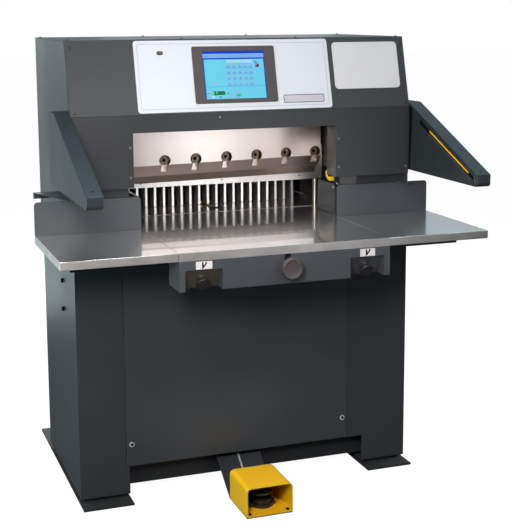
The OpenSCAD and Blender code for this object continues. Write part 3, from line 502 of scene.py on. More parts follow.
bracketYellow = endPainted("bracketYellow", (0.88, 0.52, 0.010), (0.030, 0.032, 0.036), 361, (0.38, 0.48))
whitePanel = coated("whitePanel", (0.645, 0.665, 0.735), (0.675, 0.695, 0.765), (0.32, 0.40), 1500.0, 0.03)
paleGrey = coated("plateGrey", (0.62, 0.61, 0.64), (0.66, 0.65, 0.68), (0.40, 0.50), 1500.0, 0.03)
bezelGrey = coated("bezelGrey", (0.058, 0.047, 0.049), (0.067, 0.055, 0.057), (0.50, 0.60), 1600.0, 0.06)
nameGrey = coated("nameGrey", (0.52, 0.485, 0.54), (0.56, 0.52, 0.575), (0.4, 0.5), 1500.0, 0.02)
keyBrown = coated("keyBrown", (0.090, 0.062, 0.054), (0.110, 0.076, 0.066), (0.35, 0.45), 1500.0, 0.02)
lineGrey = coated("lineGrey", (0.36, 0.36, 0.385), (0.42, 0.42, 0.44), (0.4, 0.5), 1500.0, 0.02)
# near-black for black parts and dark joints, also used as painted shade inside holes, slots and sockets
gapBlack = coated("gapBlack", (0.003, 0.003, 0.003), (0.004, 0.004, 0.004), (0.7, 0.8), 700.0, 0.02)
setInputs(gapBlack.node_tree.nodes["Principled BSDF"], {"Specular IOR Level": 0.08})
blackPlastic = coated("blackPlastic", (0.012, 0.011, 0.011), (0.018, 0.017, 0.016), (0.34, 0.46),
                      1200.0, 0.08)
footBlack = coated("footBlack", (0.010, 0.011, 0.012), (0.014, 0.015, 0.016), (0.78, 0.88), 700.0, 0.05)
lockGrey = coated("lockGrey", (0.38, 0.375, 0.375), (0.46, 0.455, 0.455), (0.30, 0.40), 900.0, 0.03)
plateWhite = coated("plateWhite", (0.70, 0.655, 0.665), (0.74, 0.695, 0.705), (0.40, 0.50), 1500.0, 0.02)
rubberBrown = coated("treadRubber", (0.030, 0.025, 0.023), (0.042, 0.036, 0.033), (0.42, 0.55), 900.0, 0.15)
knobMetal = coated("knobMetal", (0.064, 0.047, 0.049), (0.078, 0.058, 0.061), (0.42, 0.54),
                   1400.0, 0.05, 20.0)
cableGrey = coated("cableGrey", (0.30, 0.28, 0.26), (0.40, 0.37, 0.35), (0.45, 0.55), 900.0, 0.08)
stickPlastic = coated("stickPlastic", (0.58, 0.49, 0.46), (0.66, 0.56, 0.53), (0.35, 0.45), 800.0, 0.05)
recessTan = coated("recessTan", (0.050, 0.040, 0.030), (0.068, 0.055, 0.042), (0.45, 0.55), 700.0, 0.08)
tankPaint = coated("tankPaint", (0.07, 0.09, 0.11), (0.09, 0.11, 0.13), (0.3, 0.4), 500.0, 0.08)
boxPaint = coated("boxPaint", (0.34, 0.35, 0.36), (0.38, 0.39, 0.40), (0.4, 0.5), 700.0, 0.10)
print("finishes ready")

# the lighter and darker charcoal copies here put painted light and painted shade on single parts
roundedSolids = {  # edge radius in millimetres, finish, and finish of upright faces where it differs
    "front_hood": (1.6, charcoal), "lower_front_cover": (1.3, shadedCoverPaint), "top_cover": (1.2, charcoal),
    "head_sides": (1.0, charcoal), "rear_head_panel": (1.2, charcoal), "stands": (1.4, charcoal),
    "access_panel": (1.2, litPanelPaint), "rear_panel": (1.0, charcoal), "fences": (0.8, litConsolePaint),
    "side_guides": (2.0, charcoal), "left_guard_wing": (3.0, shadedLeftWingPaint),
    "right_guard_wing": (3.0, shadedWingPaint), "console": (1.4, litConsolePaint), "rear_table_guard": (1.1, charcoal),
    "side_shelves": (1.2, charcoal), "left_table_wing": (1.6, tableSteel, edgeSteel),
    "right_table_wing": (1.6, tableSteel, edgeSteel), "centre_table": (1.6, tableSteel, edgeSteel),
    "table_support_bar": (2.0, blackPaint), "feet": (1.5, footBlack), "crossmembers": (1.5, blackPaint),
    "pedal_guard": (1.4, yellow), "pedal_bracket": (1.0, charcoal), "screen_bezel": (1.6, bezelGrey),
    "fascia": (0.7, whitePanel), "clamp_beam": (0.9, clampUnder, clampSteel),
    "gauge_fingers": (0.8, fingerSteel), "knife_carrier": (1.2, carrierSteel),
    "gauge_carriage": (1.5, gapBlack), "window_jambs": (0.8, jambBrown), "control_box": (3.0, boxPaint),
    "hydraulic_tank": (2.0, tankPaint), "knife_bolts": (1.0, boltBrown),
    "left_panel_lock": (0.6, zincSteel), "right_panel_lock": (0.6, zincSteel),
    "pedal_switch": (1.2, blackPlastic)}
for nodeName, (radius, *finishes) in roundedSolids.items():
    softCopy(nodeName, radius * mm, *finishes)

plainSolids = {
    "base_tray": blackPaint, "side_frames": charcoal, "top_beam": blackPaint, "cutting_stick": stickPlastic,
    "screen": bezelGrey, "blank_plates": paleGrey, "knife_blade": bladeSteel, "knife_cylinder": blackPaint,
    "knife_ram": bladeSteel, "clamp_pull_frame": rodSteel, "clamp_cylinder": blackPaint,
    "lead_screw": rodSteel, "gauge_motor": blackPaint, "pump_motor": tankPaint, "power_inlet": blackPlastic,
    "throat_bracket": bracketYellow}
for nodeName, finish in plainSolids.items():
    mesh = nodes[nodeName].data
    mesh.materials.clear()
    mesh.materials.append(finish)
print("solids dressed")

# hood plane: x across, y up the slope from the fold, z outwards
hood = {"origin": (0, -315, 1282), "run": 63, "rise": 238}
lean = math.atan2(hood["run"], hood["rise"])
hoodAxes = [(1, 0, 0), (0, math.sin(lean), math.cos(lean)), (0, -math.cos(lean), math.sin(lean))]


def onHood(shape, u=0.0, v=0.0, w=0.0):
    return placed(shape, np.array(hood["origin"]) + np.array([u, v, w]) @ np.array(hoodAxes), *hoodAxes)


# guard wing slope: y up the slope from the nose, z outwards
wing = {"origin": (0, -780, 1100), "run": 475, "rise": 196}
tilt = math.atan2(wing["rise"], wing["run"])
wingAxes = [(1, 0, 0), (0, math.cos(tilt), math.sin(tilt)), (0, -math.sin(tilt), math.cos(tilt))]


def onBothWings(shape):
    return bothSides([placed(shape, wing["origin"], *wingAxes)])


# places on the hood: across, up and outwards
panelTrim = {"size": (650, 214, 7), "place": (-34, 123, 1.5), "width": 1.5, "thick": 0.12}
trimLine = roundRect(*panelTrim["size"])
trimShape = frameShape(trimLine, insetOutline(trimLine, panelTrim["width"]), panelTrim["thick"])
putMesh("fasciaLine", onHood(trimShape, *panelTrim["place"]), "base", lineGrey)

namePlate = {"size": (146, 27, 5), "place": (201, 38.5, 2.5), "inset": 0.5, "thick": 0.1,
             "rim": 2.0, "rimThick": 0.25}
nameLine = roundRect(*namePlate["size"])
nameFace = plateShape(insetOutline(nameLine, namePlate["inset"]), namePlate["thick"])
nameRim = frameShape(nameLine, insetOutline(nameLine, namePlate["rim"]), namePlate["rimThick"])
putMesh("namePlateFace", onHood(nameFace, *namePlate["place"]), "base", nameGrey)
putMesh("namePlateRim", onHood(nameRim, *namePlate["place"]), "base", gapBlack)

key = {"place": (-284, 200, 1.5), "oval": (22, 13, 6.49, 9), "plate": (1.0, 0.4),
       "ring": [(6.2, 0.8), (6.2, 1.8), (5.6, 2.3), (5.0, 2.0), (5.0, 0.9)],
       "rotor": [(4.6, 0.1), (4.6, 4.0), (4.0, 4.8), (0.5, 5.0)], "slot": (-0.7, 0.7, -3.4, 3.4, 4.6, 5.05)}
keyPlate = onHood(plateShape(roundRect(*key["oval"]), *key["plate"]), *key["place"])
keyRing, keyRotor = (onHood(turnedShape(key[part]), *key["place"]) for part in ("ring", "rotor"))
# a black bar across the rotor top, painted shade for the dark inside of the key slot
keySlotShade = onHood(boxShape(*key["slot"]), *key["place"])
putMesh("keyPlate", keyPlate, "base", keyBrown)
putMesh("keyRing", keyRing, "base", boltBrown)
putMesh("keyRotor", keyRotor, "power_key", boltBrown, replaces=["power_key"])
putMesh("keySlotShade", keySlotShade, "power_key", gapBlack, False)
print("operator panel trimmed")

# screen picture: every area is a thin plate, placed by shares of the width and height from the top left
display = {"left": -141.6, "top": 201.1, "width": 211.2, "height": 157.2, "face": 4.5, "layer": 0.08}
screenTones = {
    "screenBlue": (0.004, 0.055, 0.66), "screenLavender": (0.19, 0.40, 0.76),
    "screenCyan": (0.145, 0.60, 0.78), "screenPale": (0.40, 0.68, 0.80),
    "keyFace": (0.26, 0.50, 0.76), "keyLow": (0.15, 0.40, 0.74),
    "keyShade": (0.020, 0.17, 0.62), "readoutGreen": (0.10, 0.58, 0.28), "buttonGreen": (0.03, 0.50, 0.16),
    "dotRed": (0.16, 0.0, 0.015), "screenInk": (0.004, 0.012, 0.012)}
inkPower = 0.4
screenFinish = {toneName: lit(toneName, color, inkPower if toneName == "screenInk" else 1.0)
                for toneName, color in screenTones.items()}
screenAreas = {  # x from, y from, x to, y to, layer
    "screenBlue": [(0, 0, 1, 0.045, 1), (0, 0.135, 1, 0.165, 1), (0, 0.165, 0.012, 1, 1),
                   (0.988, 0.165, 1, 1, 1)],
    "screenLavender": [(0, 0.045, 1, 0.135, 1)],
    "screenCyan": [(0.012, 0.165, 0.988, 1, 1)],
    "screenPale": [(0.375, 0.178, 0.80, 0.240, 2), (0.098, 0.932, 0.14, 0.980, 2)],
    "keyShade": [(0.030, 0.738, 0.985, 0.744, 2), (0.84, 0.20, 0.90, 0.265, 2),
                 (0.845, 0.285, 0.895, 0.345, 2), (0.345, 0.872, 0.385, 0.892, 2),
                 (0.015, 0.875, 0.07, 0.89, 3), (0.22, 0.945, 0.25, 0.975, 2),
                 (0.035, 0.10, 0.085, 0.112, 2)],
    "keyFace": [(0.855, 0.19, 0.905, 0.245, 3), (0.86, 0.275, 0.91, 0.325, 3),
                (0.135, 0.64, 0.205, 0.725, 2), (0.015, 0.835, 0.07, 0.89, 2), (0.015, 0.905, 0.07, 0.97, 2),
                (0.41, 0.90, 0.475, 0.965, 2), (0.50, 0.83, 0.56, 0.89, 2)],
    "readoutGreen": [(0.100, 0.832, 0.332, 0.922, 2)],
    "buttonGreen": [(0.50, 0.905, 0.565, 0.958, 2)],
    "dotRed": [(0.865, 0.278, 0.908, 0.332, 4)], "keyLow": []}
keypad = {"columns": (0.40, 0.494, 0.587, 0.68, 0.77), "rows": (0.317, 0.44, 0.56, 0.683),
          "half": (0.034, 0.044), "shade": 0.15, "marks": "789+C456-%123x<0.=/>", "size": 7.5, "weight": 0.01,
          "layer": 4}
readout = {"text": "2.000", "place": (0.222, 0.880), "size": 16.5, "weight": 0.05, "layer": 3}
keyPlaces = [(column, row) for row in keypad["rows"] for column in keypad["columns"]]
wide, high = keypad["half"]
for column, row in keyPlaces:
    screenAreas["keyFace"].append((column - wide, row - high, column + wide, row + high, 2))
    screenAreas["keyLow"].append((column - wide, row + keypad["shade"] * high, column + wide, row + high, 3))


def screenSpot(fx, fy):
    return display["left"] + fx * display["width"], display["top"] - fy * display["height"]


def screenTop(layer):
    return display["face"] + display["layer"] * layer


def screenPlate(fx0, fy0, fx1, fy1, layer):
    x0, y1 = screenSpot(fx0, fy0)
    x1, y0 = screenSpot(fx1, fy1)
    return onHood(boxShape(x0, x1, y0, y1, display["face"], screenTop(layer)))


def screenText(words, place, style):
    figure = textShape(words, style["size"], style["weight"])
    return onHood(figure, *screenSpot(*place), screenTop(style["layer"]))


for toneName, areas in screenAreas.items():
    plates = joinShapes([screenPlate(*area) for area in areas])
    putMesh(toneName, plates, "base", screenFinish[toneName], False)
readoutShape = screenText(readout["text"], readout["place"], readout)
putMesh("screenReadout", readoutShape, "base", screenFinish["screenInk"], False)
marks = [screenText(mark, place, keypad) for mark, place in zip(keypad["marks"], keyPlaces)]
putMesh("screenFigures", joinShapes(marks), "base", screenFinish["keyShade"], False)
print("screen drawn")

# button-head screws: a low dome with a socket; a turned form is its profile and its number of sides
screw = {"form": ([(5.0, 0.0), (5.0, 0.7), (4.4, 1.7), (3.3, 2.35), (2.4, 2.5), (2.2, 0.9)], 14),
         "hoodEdge": 575, "hoodUp": (12, 220.2), "wingX": 615, "wingUp": (26, 421),
         "topX": (-575, -200, 200, 575), "topY": (-230, 276), "topZ": 1520, "coverY": -315,
         "cover": [(-400, 1179), (-400, 1083), (326, 1179), (326, 1083), (580, 1074), (-580, 1074),
                   (-96, 1266)]}
screwShape = turnedShape(*screw["form"])
headScrews = [onHood(screwShape, x * screw["hoodEdge"], v) for x in (-1, 1) for v in screw["hoodUp"]]
headScrews += [placed(screwShape, (x, y, screw["topZ"])) for x in screw["topX"] for y in screw["topY"]]
headScrews += [onBothWings(placed(screwShape, (screw["wingX"], y, 0))) for y in screw["wingUp"]]
coverScrews = repeated(screwShape, [(x, screw["coverY"], z) for x, z in screw["cover"]], frontAxes)
putMesh("headScrews", joinShapes(headScrews), "base", darkSteel, replaces=["cover_screws"])
putMesh("coverScrews", coverScrews, "base", coverSteel)

# dark joints between sheets: thin strips on the sheet beside the joint, as lines of y and z
joint = {"proud": 0.15, "place": (590, 0, 0),
         "hood": [(-311.8, 1282), (-309.8, 1282), (-247, 1519), (-249, 1519)],
         "root": [(315.2, 1062), (327, 1062), (342, 1270), (315.2, 1286)]}
jointShapes = [placed(plateShape(joint[line], joint["proud"]), joint["place"], *axes)
               for line, axes in (("hood", rightAxes), ("root", leftAxes))]
putMesh("sheetJoints", bothSides(jointShapes), "base", gapBlack, False)
print("fasteners and joints placed")

curtain = {"bar": (592, 620, 16.3, 414.3, -33.3, -15.3), "strip": (591, 592, 52, 336, -24.0, -18.4),
           "filler": (590.4, 606, 16.2, 334, -33.5, -28.5)}
housing, strip, filler = (onBothWings(boxShape(*curtain[part])) for part in ("bar", "strip", "filler"))
putMesh("curtainHousing", housing, "base", gapBlack, False, replaces=["light_curtains"])
putMesh("curtainStrip", strip, "base", yellow, False)
putMesh("curtainFiller", filler, "base", charcoal, False)
print("light curtains built")

# knob: turned rim with a shallow dish, on a neck and a shaft
knob = {"axis": (0, -717, 834), "form": ([
    (6, -98), (6, -41), (12.8, -40), (12.8, -24), (29, -24), (31.2, -23), (32, -21), (32, -3.2), (31.4, -1.2),
    (29.8, -0.2), (28.2, -0.1), (26.8, -0.7), (24, -1.9), (18, -2.8), (10, -3.3), (1, -3.4)], 48)}
knobShape = placed(turnedShape(*knob["form"]), knob["axis"], *frontAxes)
putMesh("knob", knobShape, "gauge_knob", knobMetal, replaces=["gauge_knob"])

# cut buttons: ribbed cap on a stem, pointing down and to the front
button = {"x": 268.5, "middle": (-645.5, 813), "normal": (0, -0.818029, -0.575177),
          "cap": ([(10, -18), (10, 14.6), (13.5, 15), (20, 17.2), (22, 18.6), (22.5, 20.2), (22.5, 24.6),
                   (21.6, 26.4), (19, 27.4), (17.6, 26.6), (3, 26.4)], 36, 0.045),
          "collar": ([(17.5, 0), (17.5, 5.2), (15.4, 6.4), (15.4, 8.0), (14.2, 8.8), (11, 8.8),
                      (10.6, 0.2)], 8)}
buttonAxes = [(1, 0, 0), np.cross(button["normal"], (1, 0, 0)), button["normal"]]
for sideName, side in (("left", -1), ("right", 1)):
    spot = (side * button["x"], *button["middle"])
    cap, collar = (placed(turnedShape(*button[part]), spot, *buttonAxes) for part in ("cap", "collar"))
    body = sideName + "_cut_button"
    putMesh(sideName + "ButtonCap", cap, body, blackPlastic, replaces=[body])
    putMesh(sideName + "ButtonCollar", collar, "base", coverSteel)
recess = {"halfWide": 57.5, "line": [(-667.6, 844.2), (-667.9, 844.2), (-624.5, 782.4), (-624.2, 782.4)]}
recessPlate = placed(plateShape(recess["line"], 2 * recess["halfWide"]),
                     (-button["x"] - recess["halfWide"], 0, 0), *rightAxes)
putMesh("recessPlate", recessPlate, "base", recessTan, False)

# plates above the buttons, each with a plain arrow
buttonPlate = {"size": (51, 24, 1.2, 3), "z": 859, "front": -673, "thick": 0.6, "ink": 0.1,
               "strokes": [[(-6.6, -10.4), (-4.0, -10.4), (-1.0, -2.5), (-2.2, 10), (-7.0, 10)],
                           [(-4.4, -10.4), (-3.2, -10.4), (8.0, 3.6), (8.8, 10), (4.0, 10), (3.2, 5),
                            (-2.6, -2.6)]]}
platePlaces = [np.array([side * button["x"], buttonPlate["front"], buttonPlate["z"]]) for side in (-1, 1)]
inkPlaces = [place - [0, buttonPlate["thick"], 0] for place in platePlaces]
plate = plateShape(roundRect(*buttonPlate["size"]), buttonPlate["thick"])
arrow = joinShapes([plateShape(stroke, buttonPlate["ink"]) for stroke in buttonPlate["strokes"]])
putMesh("buttonPlates", repeated(plate, platePlaces, frontAxes), "base", plateWhite)
putMesh("buttonArrows", repeated(arrow, inkPlaces, frontAxes), "base", gapBlack, False)
print("console finished")

# panel locks: a bright ring round a black disc, painted shade for the dark inside of the key opening
lock = {"left": -415, "right": 346, "front": -309, "z": 189, "face": 4.05, "opening": (4.8, 20, 0.9),
        "ring": ([(9.1, 3.2), (9.1, 4.3), (8.2, 4.9), (5.4, 4.9), (4.7, 4.1)], 28)}
for sideName in ("left", "right"):
    spot = np.array([lock[sideName], lock["front"], lock["z"]])
    ring = placed(turnedShape(*lock["ring"]), spot, *frontAxes)
    opening = placed(discShape(*lock["opening"]), spot - [0, lock["face"], 0], *frontAxes)
    body = sideName + "_panel_lock"
    putMesh(sideName + "LockRing", ring, body, lockGrey)
    putMesh(sideName + "LockOpeningShade", opening, body, gapBlack, False)

# the two small holes in the left leg are closed by dark plugs, painted shade for the dark inside of the holes
legPlug = {"form": ([(8.0, -0.2), (8.0, 4.5), (7.0, 6.6), (4.5, 8.0)], 24),
           "places": [(-590, -110, 622), (-590, -110, 719)]}
legHoleShade = repeated(turnedShape(*legPlug["form"]), legPlug["places"], leftAxes)
putMesh("legHoleShade", legHoleShade, "base", gapBlack, False)

# screws in the two holes in the floor of the foot guard
guardScrew = {"form": ([(6.0, -0.2), (6.0, 3.0), (5.0, 4.6), (3.0, 5.2)], 20),
              "places": [(-98, -587, 7), (32, -587, 7)]}
guardScrews = repeated(turnedShape(*guardScrew["form"]), guardScrew["places"])
putMesh("guardScrews", guardScrews, "base", gapBlack, False)

# small screws in the inner faces of both side guides
guideScrew = {"form": ([(4.0, 0.0), (4.0, 1.0), (3.2, 1.7), (1.8, 2.0), (1.6, 0.7)], 12),
              "places": [(352, -208, 997), (352, -80, 912)]}
guideScrews = repeated(turnedShape(*guideScrew["form"]), guideScrew["places"], leftAxes)
putMesh("guideScrews", bothSides([guideScrews]), "base", zincSteel)

# knife details are laid out level, then tilted as the knife is
knife = {"pivot": (-15, 1230), "tilt": 0.9, "bolts": [-360.5] + [-216.2 + 112.4 * k for k in range(6)],
         "row": 1102, "radius": 20, "slot": 24, "low": 42, "lowSteps": 5, "front": -53, "floor": -23,
         "chamfer": (1088, 42, 36), "liner": (0.1, 0.7), "linerFront": 0.4, "linerLeast": 1.0,
         "disc": (18.8, 28, 0.4), "socket": (6.6, 6, 0.3), "head": 8.2}


def onKnife(shape):
    # turned about the pivot in the plane of x and z
    v, f = shape
    a = math.radians(-knife["tilt"])
    x, z = v[:, 0] - knife["pivot"][0], v[:, 2] - knife["pivot"][1]
    return np.stack([knife["pivot"][0] + x * math.cos(a) + z * math.sin(a), v[:, 1],
                     knife["pivot"][1] - x * math.sin(a) + z * math.cos(a)], 1), f


def keyholeLine(inset, steps=20):
    # a circle open at the bottom into a straight slot, counter-clockwise seen from the front
    r, s = knife["radius"] - inset, knife["slot"] / 2 - inset
    opening = math.asin(s / r)
    a = np.linspace(-math.pi / 2 + opening, 1.5 * math.pi - opening, steps)
    arc = np.stack([r * np.cos(a), r * np.sin(a)], 1)
    low = np.linspace(-knife["low"] + inset, arc[0, 1], knife["lowSteps"] + 1)[:-1]
    right = np.stack([np.full(knife["lowSteps"], s), low], 1)
    return np.concatenate([right, arc, right[::-1] * [-1, 1]])


def keyholeLiner(x):
    # wall between two keyhole lines, from the floor to the front or to the chamfer
    outer, inner = (keyholeLine(inset) for inset in knife["liner"])
    z = knife["row"] + outer[:, 1]
    top, high, deep = knife["chamfer"]
    front = np.where(z < top, knife["front"] + (top - z) / high * deep, knife["front"]) + knife["linerFront"]
    front = np.minimum(front, knife["floor"] - knife["linerLeast"])
    floor = np.full(len(outer), knife["floor"], float)
    levels = ((outer, floor), (outer, front), (inner, front), (inner, floor))
    rows = [np.stack([x + p[:, 0], y, knife["row"] + p[:, 1]], 1) for p, y in levels]
    return np.concatenate(rows), loopFaces(len(outer))


def atBolts(shape, y):
    return onKnife(repeated(shape, [(x, y, knife["row"]) for x in knife["bolts"]], frontAxes))


liners = joinShapes([onKnife(keyholeLiner(x)) for x in knife["bolts"]])
floors = atBolts(discShape(*knife["disc"]), knife["floor"])
# black discs on the bolt heads, painted shade for the dark inside of the hex sockets
socketShades = atBolts(discShape(*knife["socket"]), knife["floor"] - knife["head"])
putMesh("recessLiners", liners, "knife", bronze)
putMesh("recessFloors", floors, "knife", bronze)
putMesh("boltSocketShade", socketShades, "knife", gapBlack, False)

# black discs on the clamp front, painted shade for the dark inside of its holes
clampHole = {"form": (2.6, 14, 0.15), "places": [(x, 2, 1014.5) for x in (-288, 10, 306)]}
clampHoleShade = repeated(discShape(*clampHole["form"]), clampHole["places"], frontAxes)
putMesh("clampHoleShade", clampHoleShade, "clamp", gapBlack, False)
# a dull brown block beyond the right end of the knife carrier: painted shade and dark reflection in place of
# the carrier's steel
endPlate = {"block": (411.2, 440, -56, 58, 1044, 1262)}
putMesh("knifeEndPlate", boxShape(*endPlate["block"]), "base", shadedEndBrown, False)
stud = {"form": ([(3.4, 0), (3.4, 43.6), (2.6, 45), (0.6, 45)], 14),
        "places": [(x, 225, 908) for x in (-13, 18, 47)]}
studs = repeated(turnedShape(*stud["form"]), stud["places"], frontAxes)
putMesh("brassStuds", studs, "gauge", brass)
slotCover = {"block": (-13, 44, 66, 104, 900, 900.3)}
putMesh("slotCover", boxShape(*slotCover["block"]), "gauge", blackPaint, False)
print("knife, clamp and gauge detailed")

# pedal: domed tread over the round switch, hinged at the back
pedal = {"middle": (-33, -517, 48), "axis": (-33, -447, 52), "arm": (-66, 0, -517, -452, 48.4, 56.6, 1.5),
         "tread": ([(33, 0), (36, 1.5), (36, 5.5), (34.5, 7.6), (31, 8.7), (20, 9.0), (2, 9.0)], 40),
         "sleeve": ([(8, -37), (8, 37)], 24), "pin": ([(5, -48), (5, 48)], 20)}
pedalShapes = [placed(turnedShape(*pedal["tread"]), pedal["middle"]), boxShape(*pedal["arm"])]
pedalShapes += [placed(turnedShape(*pedal[part]), pedal["axis"], *rightAxes) for part in ("sleeve", "pin")]
putMesh("pedalTread", joinShapes(pedalShapes), "pedal", rubberBrown, replaces=["pedal"])
switch = {"block": (-79, 13, -463, -437, 61, 92, 3.0), "places": [(-70, -522, 14), (4, -522, 14)],
          "screw": ([(4.2, 0), (4.2, 2.0), (3.4, 3.0), (1.6, 3.2)], 14)}
switchScrews = repeated(turnedShape(*switch["screw"]), switch["places"])
putMesh("switchHousing", boxShape(*switch["block"]), "base", blackPlastic)
putMesh("switchScrews", switchScrews, "base", zincSteel)

# switch cable: leaves the switch at the back of the guard, climbs the ramp and enters the gland
cable = {"route": [(-433, 24), (-410, 26), (-385, 40), (-345, 66), (-305, 93), (-290, 100), (-274, 101)],
         "x": -38, "radius": 3.5, "points": 26, "sides": 14, "clips": (5, 19, 21),
         "clip": ([(3.7, -3), (5.6, -3), (5.9, 0), (5.6, 3), (3.7, 3)], 18)}
cablePath = smoothPath([(cable["x"], y, z) for y, z in cable["route"]], cable["points"])
cableShape = tubeShape(cablePath, cable["radius"], cable["sides"])
cablePiece = putMesh("switchCable", cableShape, "base", cableGrey, replaces=["pedal_cable"])
clipShapes = []
for index in cable["clips"]:
    ahead = cablePath[index + 1] - cablePath[index - 1]
    ahead /= np.linalg.norm(ahead)
    clipAxes = [(1, 0, 0), np.cross(ahead, (1, 0, 0)), ahead]
    clipShapes.append(placed(turnedShape(*cable["clip"]), cablePath[index], *clipAxes))
clipPiece = putMesh("cableClips", joinShapes(clipShapes), "base", blackPlastic)
print("foot switch detailed")

# screws of the rear sheets, and the pins of the inlet
rear = {"stand": [(x, 261, z) for x in (-420, 420) for z in (140, 500, 850)],
        "head": [(x, 296, z) for x in (-575, 575) for z in (1060, 1290, 1500)],
        "headTop": [(-190, 296, 1500), (190, 296, 1500)],
        "pins": [(343, 264, 197), (357, 264, 197), (350, 264, 208)],
        "pin": ([(2.0, 0), (2.0, 8), (0.6, 9)], 10)}
rearScrews = repeated(screwShape, rear["stand"] + rear["head"] + rear["headTop"], backAxes)
inletPins = repeated(turnedShape(*rear["pin"]), rear["pins"], backAxes)
putMesh("rearScrews", rearScrews, "base", darkSteel)
putMesh("inletPins", inletPins, "base", zincSteel)
print("rear finished")

# the floor and the studio are white to the camera; in reflections the studio is dim at the front
# and brighter at the back
stage = {"floor": (0.12, 0.12, 0.125), "glow": 0.97, "reach": 40.0, "ambient": 0.0, "front": 0.02,
         "back": 0.495, "fade": 0.4, "tint": (0.784, 0.931, 1),
         "matt": {"Roughness": 0.9, "Specular IOR Level": 0.1}}
white = (1, 1, 1, 1)
corners = [(stage["reach"] * x, stage["reach"] * y, 0) for x, y in ((-1, -1), (1, -1), (1, 1), (-1, 1))]
floorMesh = bpy.data.meshes.new("floor")
floorMesh.from_pydata(corners, [], [(0, 1, 2, 3)])
floorMaterial, floorTree, floorShader = newMaterial("floorPaper")
setInputs(floorShader, {"Base Color": (*stage["floor"], 1), "Emission Color": white, **stage["matt"]})
floorPath = addNode(floorTree, "ShaderNodeLightPath")
floorGlow = addNode(floorTree, "ShaderNodeMath", {1: stage["glow"]}, "MULTIPLY")
floorTree.links.new(floorPath.outputs["Is Camera Ray"], floorGlow.inputs[0])
floorTree.links.new(floorGlow.outputs["Value"], floorShader.inputs["Emission Strength"])
floorMesh.materials.append(floorMaterial)
floorPiece = addObject("floor", floorMesh)

world = bpy.data.worlds.new("studio")
world.use_nodes = True
worldTree = world.node_tree
seen = worldTree.nodes["Background"]
setInputs(seen, {"Color": white})
around = addNode(worldTree, "ShaderNodeBackground", {"Color": (*stage["tint"], 1)})
worldPath = addNode(worldTree, "ShaderNodeLightPath")
worldCoords = addNode(worldTree, "ShaderNodeTexCoord")
worldParts = addNode(worldTree, "ShaderNodeSeparateXYZ")
depth = addNode(worldTree, "ShaderNodeMapRange", {"From Min": -stage["fade"], "From Max": stage["fade"],
                                                  "To Min": stage["front"], "To Max": stage["back"]})
glossyMix = addNode(worldTree, "ShaderNodeMix", {"A": stage["ambient"]})
cameraMix = addNode(worldTree, "ShaderNodeMixShader")
link = worldTree.links.new
link(worldCoords.outputs["Generated"], worldParts.inputs["Vector"])
link(worldParts.outputs["Y"], depth.inputs["Value"])
link(worldPath.outputs["Is Glossy Ray"], glossyMix.inputs["Factor"])
link(depth.outputs["Result"], glossyMix.inputs["B"])
link(glossyMix.outputs["Result"], around.inputs["Strength"])
link(worldPath.outputs["Is Camera Ray"], cameraMix.inputs["Fac"])
link(around.outputs["Background"], cameraMix.inputs[1])
link(seen.outputs["Background"], cameraMix.inputs[2])
link(cameraMix.outputs["Shader"], worldTree.nodes["World Output"].inputs["Surface"])
scene.world = world
scene.view_settings.view_transform = "Standard"

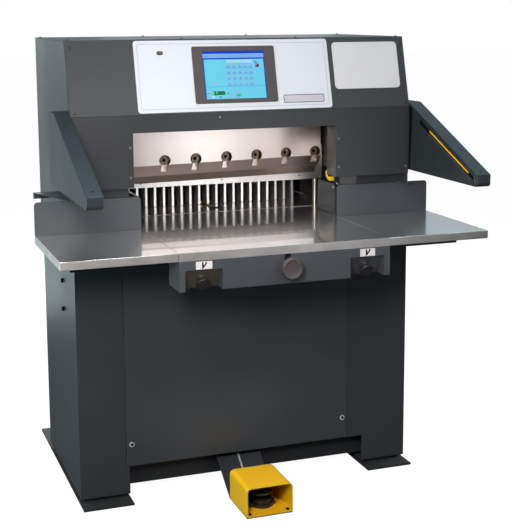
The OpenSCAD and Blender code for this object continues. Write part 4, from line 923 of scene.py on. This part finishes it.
lamps = {  # place, aim, width, height, power, colour; a lamp for metal shows in reflections alone
    "frontLeft": ((-2.05, -3.85, 3.77), (0, -0.3, 0.9), 1.8, 1.8, 55, (0.92, 0.98, 1.0)),
    "frontMiddle": ((0, -4.40, 3.77), (0, -0.3, 0.9), 1.8, 1.8, 10, (0.75, 0.95, 1.0)),
    "frontRight": ((2.05, -3.85, 3.77), (0, -0.3, 0.9), 1.8, 1.8, 13, (0.85, 1.0, 1.0)),
    "keyLeft": ((-1.0, -2.1, 1.55), (-0.1, -0.3, 0.8), 0.4, 0.4, 24, (1.0, 0.94, 0.88)),
    "nearLeft": ((-0.9, -2.4, 1.8), (0, 0, 0.9), 0.9, 0.9, 7, (1.0, 0.90, 0.90)),
    "nearRight": ((0.7, -2.2, 1.3), (0, 0, 1.0), 0.8, 0.8, 2.6, (1.0, 1.0, 1.0)),
    "hoodGlow": ((0.3, -1.9, 2.0), (0, -0.3, 1.1), 0.4, 0.4, 4.2, (1.0, 0.85, 0.78)),
    "throatStrip": ((0.35, -1.2, 1.03), (-0.02, 0, 1.12), 0.9, 0.12, 0.42, (1.0, 0.96, 0.95), "metal"),
    "throatSpot": ((0.27, -1.2, 1.0), (-0.05, 0, 1.12), 0.26, 0.16, 0.38, (0.82, 0.96, 1.0), "metal"),
    "throatRight": ((0.43, -0.24, 1.065), (0.3, -0.05, 1.085), 0.18, 0.12, 0.075, (1, 0.92, 0.88), "metal"),
    "cutLight": ((-0.025, -0.11, 1.03), (-0.025, -1.11, 0.93), 0.69, 0.06, 0.095, (0.97, 0.97, 1.0), "metal"),
    "clampRight": ((0.285, -0.09, 0.955), (0.285, 0.9, 0.975), 0.13, 0.05, 0.020, (1.0, 0.92, 0.88), "metal"),
    "fingerRight": ((0.27, 0.0, 0.935), (0.27, 1.0, 0.945), 0.20, 0.05, 0.024, (1.0, 0.96, 0.94), "metal"),
    "leftFront": ((-4.24, -2.75, 1.94), (0, -0.3, 0.9), 1.8, 1.8, 40, (0.36, 0.90, 1.0)),
    "leftNear": ((-2.6, -0.2, 0.9), (0, 0, 0.9), 1.0, 1.0, 33, (0.88, 0.98, 1.0)),
    "backFloor": ((-1.7, 3.4, 0.03), (-1.7, 3.41, 3.0), 2.0, 2.6, 21, (0.80, 0.96, 1.0)),
    "backLeft": ((-1.04, 4.58, 1.16), (0, -0.3, 0.9), 2.0, 2.0, 9, (0.90, 1.0, 1.0)),
    "backRight": ((1.43, 4.41, 1.6), (0, -0.3, 0.9), 1.7, 2.0, 9.4, (0.94, 0.97, 1.0)),
    "rearFill": ((0.6, 3.6, 0.8), (0, 0.3, 0.9), 1.6, 1.0, 110, (0.97, 1.0, 1.0)),
    "rightFill": ((4.0, 0.9, 0.45), (0.3, 0, 0.9), 1.8, 0.75, 120, (0.97, 1.0, 1.0)),
    "guardTop": ((-0.033, -0.54, 0.40), (-0.033, -0.53, 0.10), 0.14, 0.12, 0.17, (1.0, 0.98, 0.94)),
    "skyLeft": ((-0.04, -0.17, 4.0), (-0.62, -0.4, 1.15), 0.9, 0.9, 15.0, (0.34, 0.80, 1.0), "metal"),
    "skyRight": ((2.12, -0.17, 4.0), (0.62, -0.4, 1.15), 0.9, 0.9, 17.0, (0.34, 0.80, 1.0), "metal"),
    "topSoft": ((0, -0.47, 5.9), (0, -0.3, 0.9), 1.8, 1.8, 70, (0.97, 1.0, 1.0))}
for lampName, (place, aim, wide, high, power, color, *metal) in lamps.items():
    lamp = bpy.data.lights.new(lampName, "AREA")
    lamp.shape = "RECTANGLE"
    lamp.size = wide
    lamp.size_y = high
    lamp.energy = power
    lamp.color = color
    holder = addObject(lampName, lamp)
    holder.visible_camera = False
    holder.visible_diffuse = not metal
    holder.location = place
    direction = np.array(aim) - np.array(place)
    yaw = math.atan2(direction[0], direction[1])
    pitch = math.atan2(direction[2], math.hypot(direction[0], direction[1]))
    holder.rotation_euler = (math.pi / 2 + pitch, 0, -yaw)

view = {"place": (-1.2824, -3.9611, 1.5986), "azimuth": 19.78, "down": 9.21, "roll": -0.28,
        "lens": 82.70, "sensor": 36, "shiftX": -0.0019, "shiftY": -0.1158, "clip": 200}
cameraData = bpy.data.cameras.new("camera")
cameraData.sensor_fit = "HORIZONTAL"
cameraData.sensor_width = view["sensor"]
cameraData.lens = view["lens"]
cameraData.shift_x = view["shiftX"]
cameraData.shift_y = view["shiftY"]
cameraData.clip_end = view["clip"]
camera = addObject("camera", cameraData)
azimuth, down, roll = (math.radians(view[angle]) for angle in ("azimuth", "down", "roll"))
camera.matrix_world = (Matrix.Translation(view["place"]) @ Matrix.Rotation(-azimuth, 4, "Z")
                       @ Matrix.Rotation(math.pi / 2 - down, 4, "X") @ Matrix.Rotation(roll, 4, "Z"))
scene.camera = camera
print("stage set")
